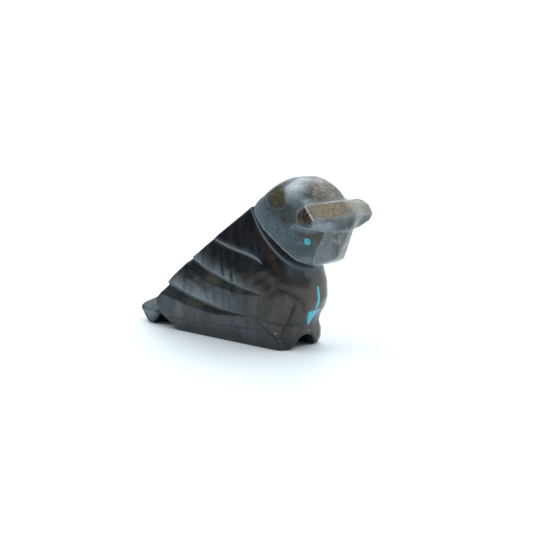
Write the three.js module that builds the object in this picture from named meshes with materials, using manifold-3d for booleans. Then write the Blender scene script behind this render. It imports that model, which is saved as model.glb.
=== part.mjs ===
// Carved owl of banded marble, standing on its own flat underside, with turquoise inlays.
// Units are millimetres. +X points the way the owl looks, +Y is its left side and +Z is up.
// The origin is on the ground, at the middle of the owl's box. The carving is the same on both
// sides of the plane Y = 0, apart from the ear tufts and the heartline arrow on the chest.

import * as THREE from 'three';
import { ConvexGeometry } from 'three/addons/geometries/ConvexGeometry.js';
import { mergeVertices } from 'three/addons/utils/BufferGeometryUtils.js';
import Module from 'manifold-3d';

const wasm = await Module();
wasm.setup();

// Driving dimensions of the whole figure
const BROW_X = 26.5;
const TAIL_X = -26.5;
const REACH = 40;
const LEFT = 1;
const RIGHT = -1;

// Body: plan outlines stacked up the height
const BODY_BACK_X = -20.3;
const WING_HALF = 5.45;
const SHOULDER_HALF = 6.2;
const SHOULDER_X = 9;
const CHEST_CENTRE_X = 11.6;
const FOOT_INSET = 0.4;
const FOOT_INSET_HEIGHT = 2.5;
const SIDE_LEAN = 0.015;
const CHEST_STEPS = 7;
const CHEST_PROFILE = [
  [0, 13.9], [1.2, 14.6], [2.8, 14.8], [4.1, 14.7], [5.2, 14.7], [6.4, 15.7], [8, 17.0], [10, 17.7],
  [12.2, 17.7], [14.6, 16.9], [18, 16.1], [30, 16.1],
];
const CHEST_SQUARENESS = [[0, 0.6], [2.8, 0.65], [4.1, 1], [5.2, 1], [6.4, 0.85], [30, 0.85]];

// Back: a slope from the tail up to the nape, steeper near the tail
const BACK_SLOPE = [[-20.3, 5.5], [-18.2, 7.7], [-15, 11.15], [-4, 19.65], [5.9, 26.8], [12, 31.2]];

// Legs: each stands a step proud of the chest, outside the crease line given in [y, z]
const LEG_STEP = 0.3;
const LEG_BACK_X = 8;
const LEG_CREASE = [
  [6.1, 12.3], [5.4, 11.6], [4.3, 10.5], [3.0, 8.5], [2.2, 7.2],
  [1.6, 6], [1.1, 4.6], [1.0, 3.6], [1.5, 2.4], [1.9, -1],
];

// Tail: a narrower block, with a notch under its root
const TAIL_HALF_END = 3.3;
const TAIL_HALF_ROOT = 4.3;
const TAIL_TOP_END = 3.2;
const TAIL_TOP_ROOT = 5.9;
const TAIL_SIDE_FACET = { down: 1.5, in: 1.2 };
const TAIL_FOOT_X = -24;
const TAIL_FOOT_RISE = 2.6;
const TAIL_ROOT_INSIDE = 4;
const NOTCH = { back: -23.2, apex: -20.1, front: -15, height: 2.4 };

// Gap between the feet
const FEET_GAP_HALF = 2.9;
const FEET_GAP_HEIGHT = 2.5;
const FEET_GAP_BACK_X = 9;
const ARCH_STEPS = 5;

// Wing grooves, as points of [x, z] on the side, with the groove's width at each point
const WING_GROOVES = [
  { path: [[-6.6, 20.3], [-4.1, 19.4], [0, 18.2], [3.4, 17.6], [6.8, 16.9], [8.6, 16.3]],
    widths: [0.6, 0.6, 0.8, 1.1, 0.9, 0.15] },
  { path: [[-13, 15.6], [-10.1, 14.2], [-6.8, 12.6], [-3.3, 11.7], [0.1, 11], [3.5, 10.5], [8.8, 10.4]],
    widths: [2.2, 2.2, 2.4, 2.2, 1.7, 1.3, 0.15] },
  { path: [[-20.8, 9.2], [-17.4, 8.2], [-13.8, 7.4], [-10.3, 6.6], [-6, 6], [-1.9, 5.6], [5.2, 5.8]],
    widths: [2.8, 2.8, 2.5, 2.2, 1.8, 1.3, 0.15] },
];
const GROOVE_DEPTH_RATIO = 0.33;
const CUTTER_PROUD = 0.6;

// Line of the collar cut, seen from the side, from above the nape to below the chin
const COLLAR = [
  [2.4, 30.6], [5.6, 26.9], [7.1, 24.3], [9.0, 21.9], [11.6, 20.0], [14.8, 18.3], [17.9, 15.7], [23, 11.4],
];
const COLLAR_GAP = 1.0;
const COLLAR_DEPTH = 0.9;
const NECK_OVERLAP = 3;

// Head: sections across it, from the nape to the face
const HEAD_STATIONS = [5.3, 5.8, 6.6, 7.6, 9.2, 11.2, 13.2, 15, 16.8, 18.4, 19.8, 20.8, 21.8, 23.2, 27.5];
const CROWN_PROFILE = [
  [5.3, 25.8], [5.8, 26.9], [6.6, 28.1], [7.6, 29.3], [9.2, 30.7], [11.2, 31.9], [13.2, 32.6], [15, 32.8],
  [16.8, 32.6], [18.4, 32.0], [19.8, 31.1], [20.8, 30.1], [21.8, 29.1], [23.2, 27.6], [27.5, 24.6],
];
const CHIN_PROFILE = [
  [5.3, 24.0], [9.2, 20.0], [13.2, 17.6], [15, 16.9], [16.8, 16.2], [19.8, 16.3], [23.2, 18.2], [27.5, 22],
];
const CHEEK_FRONT = { x: 22.5, half: 4.05 };
const CHEEK_TAPER = 0.171;
const NAPE_ROUND = { length: 4.2, share: 0.38 };
const CROWN_ROUND = 4.4;
const CROWN_FRONT_ROUND = 3.3;
const CROWN_BLEND = [16.5, 20.5];
const CHIN_ROUND = 2.4;
const LIP_ROUND = 0.6;
const CHIN_BLEND = [15, 19];
const ROUND_WIDTH_SHARE = 0.8;
const ROUND_HEIGHT_SHARE = 0.45;
const ROUND_STEPS = 6;

// Brow bar, from tuft to tuft. The left tuft was cut a little rounder than the right one.
const BROW = { front: [BROW_X, 0, 26.6], ridge: [23.45, 0, 29.25] };
const TUFTS = {
  [RIGHT]: {
    top: [21.2, 7.86, 28.5], front: [23.92, 8.6, 25.95], low: [23.1, 8.25, 23.8],
    backTop: [19.1, 7.9, 27.4], backLow: [19.3, 7.9, 24.6],
    rootTop: [16.8, 4.4, 27.9], rootLow: [16.4, 4.8, 24.8],
  },
  [LEFT]: {
    top: [21.4, 8.3, 28.1], front: [23.9, 8.6, 26.0], low: [23.3, 8.15, 24.2],
    backTop: [19.1, 7.8, 27.2], backLow: [19.3, 7.6, 24.8],
    rootTop: [16.8, 4.4, 27.9], rootLow: [16.4, 4.8, 24.8],
  },
};
const FACE_NORMAL = [0.854, 0.223, -0.469];
const FACE_LOW_Z = 23.6;
const FACE_BEVEL = { normal: [0.62, 0.72, -0.3], edge: [23.15, 3.5, 21.8] };
const CHIN_FRONT = { x: 22.2, z: 18.1, normal: [0.5, 0, -0.87] };

// Inlays: pegs in the cheeks, and a strip and a point let into the chest, as [y, z] outlines
const EYE = { x: 19.0, z: 21.5, radius: 0.72, depth: 1.2, sides: 20 };
const INLAY_GAP = 0.3;
const HEARTLINE_DEPTH = 1.2;
const SHAFT_LINE = [[-0.2, 12.4], [-0.05, 11.2], [0.12, 9.7], [0.35, 8.6], [0.45, 7.85]];
const SHAFT_HALF_WIDTH = 0.36;
const ARROWHEAD = [[-1.35, 7.45], [1.95, 7.3], [0.3, 4.2]];

// Geometry helpers

function solidFrom(geometry) {
  const bare = geometry.index ? geometry.toNonIndexed() : geometry.clone();
  bare.deleteAttribute('normal');
  bare.deleteAttribute('uv');
  const merged = mergeVertices(bare, 1e-5);
  return new wasm.Manifold(new wasm.Mesh({
    numProp: 3,
    vertProperties: new Float32Array(merged.attributes.position.array),
    triVerts: new Uint32Array(merged.index.array),
  }));
}

function geometryFrom(solid) {
  const mesh = solid.getMesh();
  const geometry = new THREE.BufferGeometry();
  geometry.setAttribute('position', new THREE.BufferAttribute(mesh.vertProperties, 3));
  geometry.setIndex(new THREE.BufferAttribute(mesh.triVerts, 1));
  return geometry;
}

function profileAt(profile, t) {
  const last = profile.length - 1;
  const at = profile.findIndex(([knot]) => knot >= t);
  if (at === 0) return profile[0][1];
  if (at < 0) return profile[last][1];
  const [t0, v0] = profile[at - 1];
  const [t1, v1] = profile[at];
  return v0 + (v1 - v0) * (t - t0) / (t1 - t0);
}

// An outline of [x, z] points becomes a slab across the figure, between the two given Y values
function sideSlab(outline, y0, y1) {
  const shape = new THREE.Shape(outline.map(([x, z]) => new THREE.Vector2(x, z)));
  const geometry = new THREE.ExtrudeGeometry(shape, { depth: y1 - y0, bevelEnabled: false });
  geometry.rotateX(Math.PI / 2);
  geometry.translate(0, y1, 0);
  return solidFrom(geometry);
}

// Rings of points, all with the same count and order, become one closed solid
function loft(rings) {
  const count = rings[0].length;
  const positions = rings.flat().flat();
  const index = [];
  for (let ring = 0; ring < rings.length - 1; ring += 1) {
    for (let i = 0; i < count; i += 1) {
      const j = (i + 1) % count;
      const a = ring * count + i;
      const b = ring * count + j;
      index.push(a, b, b + count, a, b + count, a + count);
    }
  }
  const lastRing = (rings.length - 1) * count;
  for (let i = 1; i < count - 1; i += 1) {
    index.push(0, i + 1, i);
    index.push(lastRing, lastRing + i, lastRing + i + 1);
  }
  const geometry = new THREE.BufferGeometry();
  geometry.setAttribute('position', new THREE.Float32BufferAttribute(positions, 3));
  geometry.setIndex(index);
  return solidFrom(geometry);
}

function hull(points) {
  return solidFrom(new ConvexGeometry(points.map(([x, y, z]) => new THREE.Vector3(x, y, z))));
}

function mirrored([x, y, z], side) {
  return [x, y * side, z];
}

// A block whose one face passes through the point, square to the normal, on the normal's side
function blockBeyond(point, normal) {
  const geometry = new THREE.BoxGeometry(2 * REACH, 2 * REACH, REACH);
  geometry.translate(0, 0, REACH / 2);
  const direction = new THREE.Vector3(...normal).normalize();
  geometry.applyQuaternion(new THREE.Quaternion().setFromUnitVectors(new THREE.Vector3(0, 0, 1), direction));
  geometry.translate(...point);
  return solidFrom(geometry);
}

function cutBeyond(solid, point, normal) {
  return solid.subtract(blockBeyond(point, normal));
}

// Body

function bodyHalfWidth(x, z) {
  const along = THREE.MathUtils.clamp((x - BODY_BACK_X) / (SHOULDER_X - BODY_BACK_X), 0, 1);
  const foot = FOOT_INSET * Math.max(0, 1 - z / FOOT_INSET_HEIGHT);
  return THREE.MathUtils.lerp(WING_HALF, SHOULDER_HALF, along) - foot - SIDE_LEAN * z;
}

function planRing(z, inset) {
  const frontX = profileAt(CHEST_PROFILE, z) - inset;
  const half = bodyHalfWidth(CHEST_CENTRE_X, z) - inset;
  const squareness = profileAt(CHEST_SQUARENESS, z);
  const rightSide = [
    [BODY_BACK_X, -(bodyHalfWidth(BODY_BACK_X, z) - inset), z],
    [(BODY_BACK_X + SHOULDER_X) / 2, -(bodyHalfWidth((BODY_BACK_X + SHOULDER_X) / 2, z) - inset), z],
  ];
  for (let i = 0; i <= CHEST_STEPS; i += 1) {
    const angle = (Math.PI / 2) * (i / CHEST_STEPS);
    const x = CHEST_CENTRE_X + (frontX - CHEST_CENTRE_X) * Math.pow(Math.sin(angle), squareness);
    rightSide.push([x, -half * Math.pow(Math.cos(angle), squareness), z]);
  }
  const leftSide = rightSide.slice(0, -1).reverse().map((point) => mirrored(point, -1));
  return [...rightSide, ...leftSide];
}

function bodyLoft(inset) {
  return loft(CHEST_PROFILE.map(([z]) => planRing(z, inset)));
}

// A line of [x, z] points, moved sideways along its own normals: up, where it runs towards +X
function offsetLine(line, shift) {
  return line.map(([x, z], i) => {
    const [x0, z0] = line[Math.max(0, i - 1)];
    const [x1, z1] = line[Math.min(line.length - 1, i + 1)];
    const length = Math.hypot(x1 - x0, z1 - z0);
    return [x - shift * (z1 - z0) / length, z + shift * (x1 - x0) / length];
  });
}

function belowBack(inset) {
  const outline = [...offsetLine(BACK_SLOPE, -inset), [REACH, REACH], [REACH, -1], [BODY_BACK_X - 1, -1]];
  return sideSlab(outline, -REACH / 2, REACH / 2);
}

// A bar of the given [y, z] outline that runs forward from the given X
function frontBar(outline, fromX) {
  const shape = new THREE.Shape(outline.map(([y, z]) => new THREE.Vector2(y, z)));
  const geometry = new THREE.ExtrudeGeometry(shape, { depth: REACH, bevelEnabled: false });
  geometry.rotateX(Math.PI / 2);
  geometry.rotateZ(Math.PI / 2);
  geometry.translate(fromX, 0, 0);
  return solidFrom(geometry);
}

// The chest moved forward by one step, and kept only outside the crease
function leg(side) {
  const crease = LEG_CREASE.map(([y, z]) => [side * y, z]);
  const outline = [...crease, [side * REACH, -1], [side * REACH, LEG_CREASE[0][1]]];
  return bodyLoft(0).translate([LEG_STEP, 0, 0]).intersect(frontBar(outline, LEG_BACK_X));
}

// The region above the collar line, moved along its own normals by the given distance
function aboveCollar(shift) {
  const outline = [...offsetLine(COLLAR, shift), [REACH, 0], [REACH, REACH], [0, REACH]];
  return sideSlab(outline, -REACH / 2, REACH / 2);
}

function tail() {
  const ring = (x, half, top, foot) => [
    [x, -half, foot], [x, half, foot], [x, half, top - TAIL_SIDE_FACET.down],
    [x, half - TAIL_SIDE_FACET.in, top], [x, -(half - TAIL_SIDE_FACET.in), top],
    [x, -half, top - TAIL_SIDE_FACET.down],
  ];
  const block = loft([
    ring(TAIL_X, TAIL_HALF_END, TAIL_TOP_END, 0),
    ring(BODY_BACK_X, TAIL_HALF_ROOT, TAIL_TOP_ROOT, 0),
    ring(BODY_BACK_X + TAIL_ROOT_INSIDE, TAIL_HALF_ROOT, TAIL_TOP_ROOT, 0),
  ]);
  return cutBeyond(block, [TAIL_FOOT_X, 0, 0], [-TAIL_FOOT_RISE, 0, TAIL_X - TAIL_FOOT_X]);
}

function tailNotch() {
  return sideSlab([
    [NOTCH.back, -1], [NOTCH.front, -1], [NOTCH.front, 0], [NOTCH.apex, NOTCH.height], [NOTCH.back, 0],
  ], -REACH / 2, REACH / 2);
}

function feetGap() {
  const archHalf = Array.from({ length: ARCH_STEPS + 1 }, (_, i) => {
    const angle = (Math.PI / 2) * (i / ARCH_STEPS);
    return [FEET_GAP_HALF * Math.cos(angle), FEET_GAP_HEIGHT * Math.sin(angle)];
  });
  const arch = [...archHalf, ...archHalf.slice(0, -1).reverse().map(([y, z]) => [-y, z])];
  return frontBar([[FEET_GAP_HALF, -1], ...arch, [-FEET_GAP_HALF, -1]], FEET_GAP_BACK_X);
}

// A tapered cutter of V section, laid along a wing groove on one side of the body
function grooveCutter({ path, widths }, side) {
  const rings = path.map(([x, z], i) => {
    const [x0, z0] = path[Math.max(0, i - 1)];
    const [x1, z1] = path[Math.min(path.length - 1, i + 1)];
    const length = Math.hypot(x1 - x0, z1 - z0);
    const across = [-(z1 - z0) / length, (x1 - x0) / length];
    const half = widths[i] / 2;
    const depth = widths[i] * GROOVE_DEPTH_RATIO;
    const surface = bodyHalfWidth(x, z);
    const spread = half * (depth + CUTTER_PROUD) / depth;
    const outer = surface + CUTTER_PROUD;
    return [
      [x, side * (surface - depth), z],
      [x - across[0] * spread, side * outer, z - across[1] * spread],
      [x + across[0] * spread, side * outer, z + across[1] * spread],
    ];
  });
  return loft(side === RIGHT ? rings.map((ring) => [...ring].reverse()) : rings);
}

function body() {
  let solid = bodyLoft(0).intersect(belowBack(0)).subtract(aboveCollar(-COLLAR_GAP / 2));
  for (const side of [LEFT, RIGHT]) {
    solid = solid.add(leg(side));
    for (const groove of WING_GROOVES) solid = solid.subtract(grooveCutter(groove, side));
  }
  solid = cutBeyond(solid.add(tail()), [0, 0, 0], [0, 0, -1]);
  return solid.subtract(tailNotch()).subtract(feetGap());
}

function neck() {
  const core = bodyLoft(COLLAR_DEPTH).intersect(belowBack(COLLAR_DEPTH));
  return core.subtract(aboveCollar(NECK_OVERLAP)).intersect(aboveCollar(-NECK_OVERLAP));
}

// Head

function cheekHalf(x) {
  const straight = CHEEK_FRONT.half + CHEEK_TAPER * (CHEEK_FRONT.x - x);
  const behind = Math.max(0, HEAD_STATIONS[0] + NAPE_ROUND.length - x) / NAPE_ROUND.length;
  return straight * (1 - NAPE_ROUND.share * (1 - Math.sqrt(Math.max(0, 1 - behind * behind))));
}

function headRing(x) {
  const half = cheekHalf(x);
  const top = profileAt(CROWN_PROFILE, x);
  const low = profileAt(CHIN_PROFILE, x);
  const rightSide = [];
  const corner = (radius, centreZ, from) => {
    const span = Math.min(radius, half * ROUND_WIDTH_SHARE);
    for (let i = 0; i <= ROUND_STEPS; i += 1) {
      const angle = from + (Math.PI / 2) * (i / ROUND_STEPS);
      rightSide.push([x, -(half - span + span * Math.cos(angle)), centreZ + radius * Math.sin(angle)]);
    }
  };
  const largest = (top - low) * ROUND_HEIGHT_SHARE;
  const chinShare = THREE.MathUtils.smoothstep(x, ...CHIN_BLEND);
  const lowRound = Math.min(THREE.MathUtils.lerp(LIP_ROUND, CHIN_ROUND, chinShare), largest);
  const frontShare = THREE.MathUtils.smoothstep(x, ...CROWN_BLEND);
  const topRound = Math.min(THREE.MathUtils.lerp(CROWN_ROUND, CROWN_FRONT_ROUND, frontShare), largest);
  corner(lowRound, low + lowRound, -Math.PI / 2);
  corner(topRound, top - topRound, 0);
  const leftSide = [...rightSide].reverse().map((point) => mirrored(point, -1));
  return [...rightSide, ...leftSide];
}

function headBlank() {
  return loft(HEAD_STATIONS.map((x) => headRing(x).reverse())).intersect(aboveCollar(COLLAR_GAP / 2));
}

function facePoint(y, z, side) {
  const [nx, ny, nz] = FACE_NORMAL;
  const offset = nx * BROW.front[0] + nz * BROW.front[2];
  return [(offset - ny * y - nz * z) / nx, side * y, z];
}

function brow() {
  const points = [BROW.front, BROW.ridge, facePoint(0, FACE_LOW_Z, LEFT)];
  for (const side of [LEFT, RIGHT]) {
    for (const corner of Object.values(TUFTS[side])) points.push(mirrored(corner, side));
    points.push(facePoint(CHEEK_FRONT.half, FACE_LOW_Z, side));
  }
  return hull(points);
}

function head() {
  let face = headBlank();
  for (const side of [LEFT, RIGHT]) {
    face = cutBeyond(face, BROW.front, mirrored(FACE_NORMAL, side));
    face = cutBeyond(face, mirrored(FACE_BEVEL.edge, side), mirrored(FACE_BEVEL.normal, side));
  }
  face = cutBeyond(face, [CHIN_FRONT.x, 0, CHIN_FRONT.z], CHIN_FRONT.normal);
  return face.add(brow());
}

// Inlays

// A round peg let into a cheek, square to it, with its outer end the given height above the cheek
function eyePeg(side, radius, depth, height) {
  const geometry = new THREE.CylinderGeometry(radius, radius, depth + height, EYE.sides);
  geometry.translate(0, (height - depth) / 2, 0);
  if (side === RIGHT) geometry.rotateX(Math.PI);
  geometry.rotateZ(-side * Math.atan(CHEEK_TAPER));
  geometry.translate(EYE.x, side * cheekHalf(EYE.x), EYE.z);
  return solidFrom(geometry);
}

function grownTriangle(points, growth) {
  const centre = [0, 1].map((axis) => (points[0][axis] + points[1][axis] + points[2][axis]) / 3);
  return points.map((point) => {
    const away = [point[0] - centre[0], point[1] - centre[1]];
    const factor = 1 + 2 * growth / Math.hypot(...away);
    return [centre[0] + away[0] * factor, centre[1] + away[1] * factor];
  });
}

function shaftOutline(growth) {
  const half = SHAFT_HALF_WIDTH + growth;
  const line = SHAFT_LINE.map(([y, z], i) => {
    if (i === 0) return [y, z + growth];
    return i === SHAFT_LINE.length - 1 ? [y, z - growth] : [y, z];
  });
  const rightEdge = line.map(([y, z]) => [y - half, z]);
  const leftEdge = line.map(([y, z]) => [y + half, z]).reverse();
  return [...leftEdge, ...rightEdge];
}

const chest = bodyLoft(0);
const chestUnderInlay = bodyLoft(HEARTLINE_DEPTH);
const chestUnderPocket = bodyLoft(HEARTLINE_DEPTH + INLAY_GAP);

function heartlinePiece(outline) {
  return chest.intersect(frontBar(outline, 0)).subtract(chestUnderInlay);
}

// The carving and its inlays

function owl() {
  let solid = body().add(neck()).add(head());
  for (const outline of [shaftOutline(INLAY_GAP), grownTriangle(ARROWHEAD, INLAY_GAP)]) {
    solid = solid.subtract(frontBar(outline, 0).subtract(chestUnderPocket));
  }
  for (const side of [LEFT, RIGHT]) {
    solid = solid.subtract(eyePeg(side, EYE.radius + INLAY_GAP, EYE.depth + INLAY_GAP, EYE.radius));
  }
  return solid;
}

const stone = new THREE.MeshStandardMaterial({ color: 0x4b4c4a, roughness: 0.22, metalness: 0 });
const turquoise = new THREE.MeshStandardMaterial({ color: 0x39b3c8, roughness: 0.35, metalness: 0 });

const group = new THREE.Group();

function addPiece(name, solid, material) {
  const mesh = new THREE.Mesh(geometryFrom(solid), material);
  mesh.name = name;
  group.add(mesh);
}

addPiece('owl_carving', owl(), stone);
addPiece('right_eye_inlay', eyePeg(RIGHT, EYE.radius, EYE.depth, 0), turquoise);
addPiece('left_eye_inlay', eyePeg(LEFT, EYE.radius, EYE.depth, 0), turquoise);
addPiece('heartline_shaft', heartlinePiece(shaftOutline(0)), turquoise);
addPiece('heartline_arrowhead', heartlinePiece(ARROWHEAD), turquoise);

export default group;
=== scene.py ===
"""A small carved owl of polished banded marble with turquoise inlays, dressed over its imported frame."""

import math

import bmesh
import bpy
import numpy as np
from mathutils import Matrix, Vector


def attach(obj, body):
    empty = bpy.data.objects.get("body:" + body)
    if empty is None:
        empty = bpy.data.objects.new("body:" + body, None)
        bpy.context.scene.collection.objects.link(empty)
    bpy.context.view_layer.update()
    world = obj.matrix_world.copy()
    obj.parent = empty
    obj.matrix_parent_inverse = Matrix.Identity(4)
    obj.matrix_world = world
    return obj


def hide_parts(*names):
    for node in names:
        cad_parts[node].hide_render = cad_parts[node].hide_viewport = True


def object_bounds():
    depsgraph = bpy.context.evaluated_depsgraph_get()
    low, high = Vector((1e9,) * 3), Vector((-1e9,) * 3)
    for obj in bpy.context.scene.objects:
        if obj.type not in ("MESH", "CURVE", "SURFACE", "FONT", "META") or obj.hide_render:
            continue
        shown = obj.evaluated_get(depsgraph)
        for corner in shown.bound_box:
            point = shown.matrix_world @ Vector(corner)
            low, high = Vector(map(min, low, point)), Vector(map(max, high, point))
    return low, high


bl_info = {
    "name": "Marble Owl Carving",
    "version": (1, 0, 0),
    "blender": (4, 5, 0),
    "location": "View3D > Sidebar > Owl",
    "description": "Builds a small marble owl with turquoise inlays over its packed frame",
    "category": "Add Mesh",
}

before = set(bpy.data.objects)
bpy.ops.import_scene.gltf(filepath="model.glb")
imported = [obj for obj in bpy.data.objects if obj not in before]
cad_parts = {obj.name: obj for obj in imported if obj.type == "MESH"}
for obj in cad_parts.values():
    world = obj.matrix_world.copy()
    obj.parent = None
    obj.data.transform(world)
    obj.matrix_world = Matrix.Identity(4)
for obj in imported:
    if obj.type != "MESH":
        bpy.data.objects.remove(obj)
CAD_LOW, CAD_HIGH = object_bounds()

MM = 0.001
LEFT = 1
RIGHT = -1

# Body, in millimetres, after the driving sizes of the solids
BODY_BACK_X = -20.3
BODY_BACK_PLANE = ((-20.3, 0, 5.1), (-2.2, 0, -1.5))
BACK_EDGE_SHARE = 0.8
WING_HALF = 5.45
WING_LEAN = 0.015
FOOT_TAPER = 0.4
FOOT_TAPER_HEIGHT = 2.5
FOOT_EDGE = 0.3
SHOULDER_HALF = 6.2
SHOULDER_X = 9.0
CHEST_CENTRE_X = 11.6
CHEST_PROFILE = [
    (-2, 13.3), (0, 14.1), (1.2, 14.75), (2.8, 14.95), (4.1, 14.9), (5.2, 15.3), (6.4, 15.95), (8, 17.0),
    (10, 17.85), (12.2, 17.8), (14.6, 16.95), (18, 16.1), (36, 16.1),
]
CHEST_SQUARENESS = {
    LEFT: [(-2, 0.68), (0, 0.68), (2.8, 0.72), (4.8, 0.97), (6.0, 0.95), (7.6, 0.85), (36, 0.85)],
    RIGHT: [(-2, 0.72), (0, 0.72), (2.8, 0.74), (7.6, 0.84), (36, 0.85)],
}
BACK_SLOPE = [(-23, 2.4), (-20.3, 5.5), (-18.2, 7.7), (-15, 11.15), (-4, 19.65), (5.9, 26.8), (12, 31.2)]
LEG_CREASE = [
    (6.6, 12.9), (5.4, 11.6), (4.3, 10.5), (3.0, 8.5), (2.2, 7.2), (1.7, 6.0), (1.25, 4.6), (1.15, 3.6),
    (1.5, 2.4), (2.2, -1.5),
]
LEG_CREASE_DEPTH = 0.05
LEG_CREASE_WIDTH = 0.2
NOTCH = [(-22.7, -0.2), (-19.4, 3.2), (-13.3, -0.2)]
NOTCH_TIP = 0.2
NOTCH_EDGE = 0.3
# Half the web of stone that closes the notch in the middle, out of sight in the shade
NOTCH_WEB_HALF = 1.7
FEET_GAP_HALF = 2.9
FEET_GAP_HEIGHT = 2.5
FEET_GAP_BACK_X = 9.0
FEET_GAP_EDGE = 0.35

# Tail block: planes as (point on the plane, direction out of the stone)
TAIL_PLANES = [
    ((-26.5, 0, 0), (-1, 0, 0)),
    ((-24.0, 0, 0), (-2.6, 0, -2.5)),
    ((-26.5, 3.3, 0), (-0.16, 1, 0)),
    ((-26.5, 0, 3.6), (-0.5, 0, 1)),
    ((-26.5, 3.4, 2.8), (-0.1, 0.8, 1)),
]
TAIL_FRONT_X = BODY_BACK_X + 4
TAIL_EDGE = 0.3
TAIL_BLEND = 0.25

# Wing grooves on the side, as (x, z) points, with the width at each point, the share of the upper wall in the
# width, and the depth next to the common depth
WING_GROOVES = [
    ([(-8.2, 21.2), (-4.1, 19.4), (0, 18.2), (3.4, 17.6), (6.8, 16.9), (8.6, 16.3)],
     [0.75, 0.8, 0.95, 1.15, 1.2, 0.5], 0.6, 0.6),
    ([(-14.5, 16.6), (-13, 15.6), (-10.1, 14.2), (-6.8, 12.6), (-3.3, 11.7), (0.1, 11), (3.5, 10.5),
      (8.8, 10.4)],
     [2.2, 2.2, 2.2, 2.4, 2.2, 1.7, 1.3, 0.2], 0.35, 1.0),
    ([(-22.5, 9.9), (-20.8, 9.2), (-17.4, 8.2), (-13.8, 7.4), (-10.3, 6.6), (-6, 6), (-1.9, 5.6), (5.2, 5.8)],
     [2.8, 2.8, 2.8, 2.5, 2.2, 1.8, 1.3, 0.2], 0.33, 1.0),
]

# Reach of the painted sheen on the brink over a groove, next to the groove's first width
BRINK_SHARE = 0.7

# Outer rim of the collar cut, and the head's lower edge above it, seen from the side
COLLAR = [
    (3.0, 31.2), (5.4, 27.6), (6.5, 25.6), (7.8, 23.3), (10.1, 20.75), (12.4, 18.85), (14.6, 17.1),
    (15.5, 16.4), (16.3, 15.85), (17.5, 15.3), (20, 14.5),
]
HEAD_EDGE = [
    (3.4, 31.6), (5.3, 28.7), (6.2, 27.2), (7.3, 25.7), (8.9, 23.6), (11.3, 21.4), (13.8, 19.45),
    (16.2, 17.9), (18.2, 17.0), (21, 16.2), (25, 15.6),
]
COLLAR_WIDTH = 1.1
COLLAR_EDGE = 0.12
NECK_BLEND = 0.1

# Head
CROWN_PROFILE = [
    (4.8, 24.7), (5.3, 25.8), (5.8, 26.9), (6.6, 28.1), (7.6, 29.3), (9.2, 30.75), (11.2, 31.95),
    (13.2, 32.65), (15, 32.85), (16.8, 32.65), (18.4, 32.05), (19.8, 31.15), (20.8, 30.15), (21.8, 29.15),
    (23.2, 27.65), (27.5, 24.6),
]
CHIN_PROFILE = [
    (5.3, 23.0), (9.2, 19.6), (13.2, 17.6), (15, 17.0), (16.8, 16.65), (20.1, 16.35),
    (23.4, 17.9), (27.5, 22),
]
CHEEK_FRONT_X = 22.5
CHEEK_FRONT_HALF = 4.05
CHEEK_TAPER = 0.171
FAR_CHEEK_EXTRA = 0.5
HEAD_BACK_X = 5.3
NAPE_LENGTH = 4.2
NAPE_SHARE = 0.38
CROWN_ROUND = 4.4
CROWN_FRONT_ROUND = 3.3
CHIN_ROUND = 2.4
LIP_ROUND = 0.6
BROW_FRONT = (26.5, 0.8, 26.6)
BROW_RIDGE = (23.45, 0, 29.25)
TUFTS = {
    RIGHT: [
        (21.2, 7.86, 28.75), (24.0, 8.6, 26.3), (23.1, 8.25, 24.45), (19.1, 7.9, 27.4), (19.3, 7.9, 24.6),
        (16.8, 4.4, 27.9), (16.4, 4.8, 24.8),
    ],
    LEFT: [
        (21.4, 8.3, 28.1), (22.84, 8.5, 27.38), (23.75, 8.6, 25.8), (23.3, 8.4, 24.5), (22.4, 7.6, 23.6),
        (19.1, 7.8, 27.2), (19.3, 7.6, 24.8),
        (16.8, 4.4, 27.9), (16.4, 4.8, 24.8),
    ],
}
FACE_NORMAL = (0.854, 0.223, -0.469)
FACE_LOW_Z = 23.6
FACE_BEVEL = ((22.53, 4.05, 22.87), (0.777, 0.546, -0.311))
CHIN_FRONT = ((22.2, 0, 18.1), (0.5, 0, -0.87))
FACET_EDGE = 0.1
CHIN_FRONT_EDGE = 0.4
BROW_BACK_BLEND = 1.8
BROW_FRONT_BLEND = 0.3
HEAD_RIM_EDGE = 0.2

# Inlays
EYE_X = 19.0
EYE_Z = 21.5
SHAFT_LINE = [(-0.2, 12.4), (-0.05, 11.2), (0.12, 9.7), (0.35, 8.6), (0.45, 7.55)]
SHAFT_HALVES = [0.2, 0.34, 0.38, 0.36, 0.26]
ARROWHEAD = [(-1.4, 7.35), (2.3, 7.6), (0.25, 4.15)]
INLAY_FRONT_X = 25.0
INLAY_SIDE_Y = 12.0
# How much of the way to the front an inlay's rim reaches, which leaves a small bevel
INLAY_RIM = 0.93

# Reach of the flat maps, which hold what depends on (x, z) or on (y, z) alone
SIDE_LOW, SIDE_HIGH = (-29.0, -2.5), (29.0, 35.5)
FRONT_LOW, FRONT_HIGH = (-0.1, -2.5), (10.5, 35.5)


def length(value):
    """A property default in metres, from millimetres."""
    return value * MM


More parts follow.
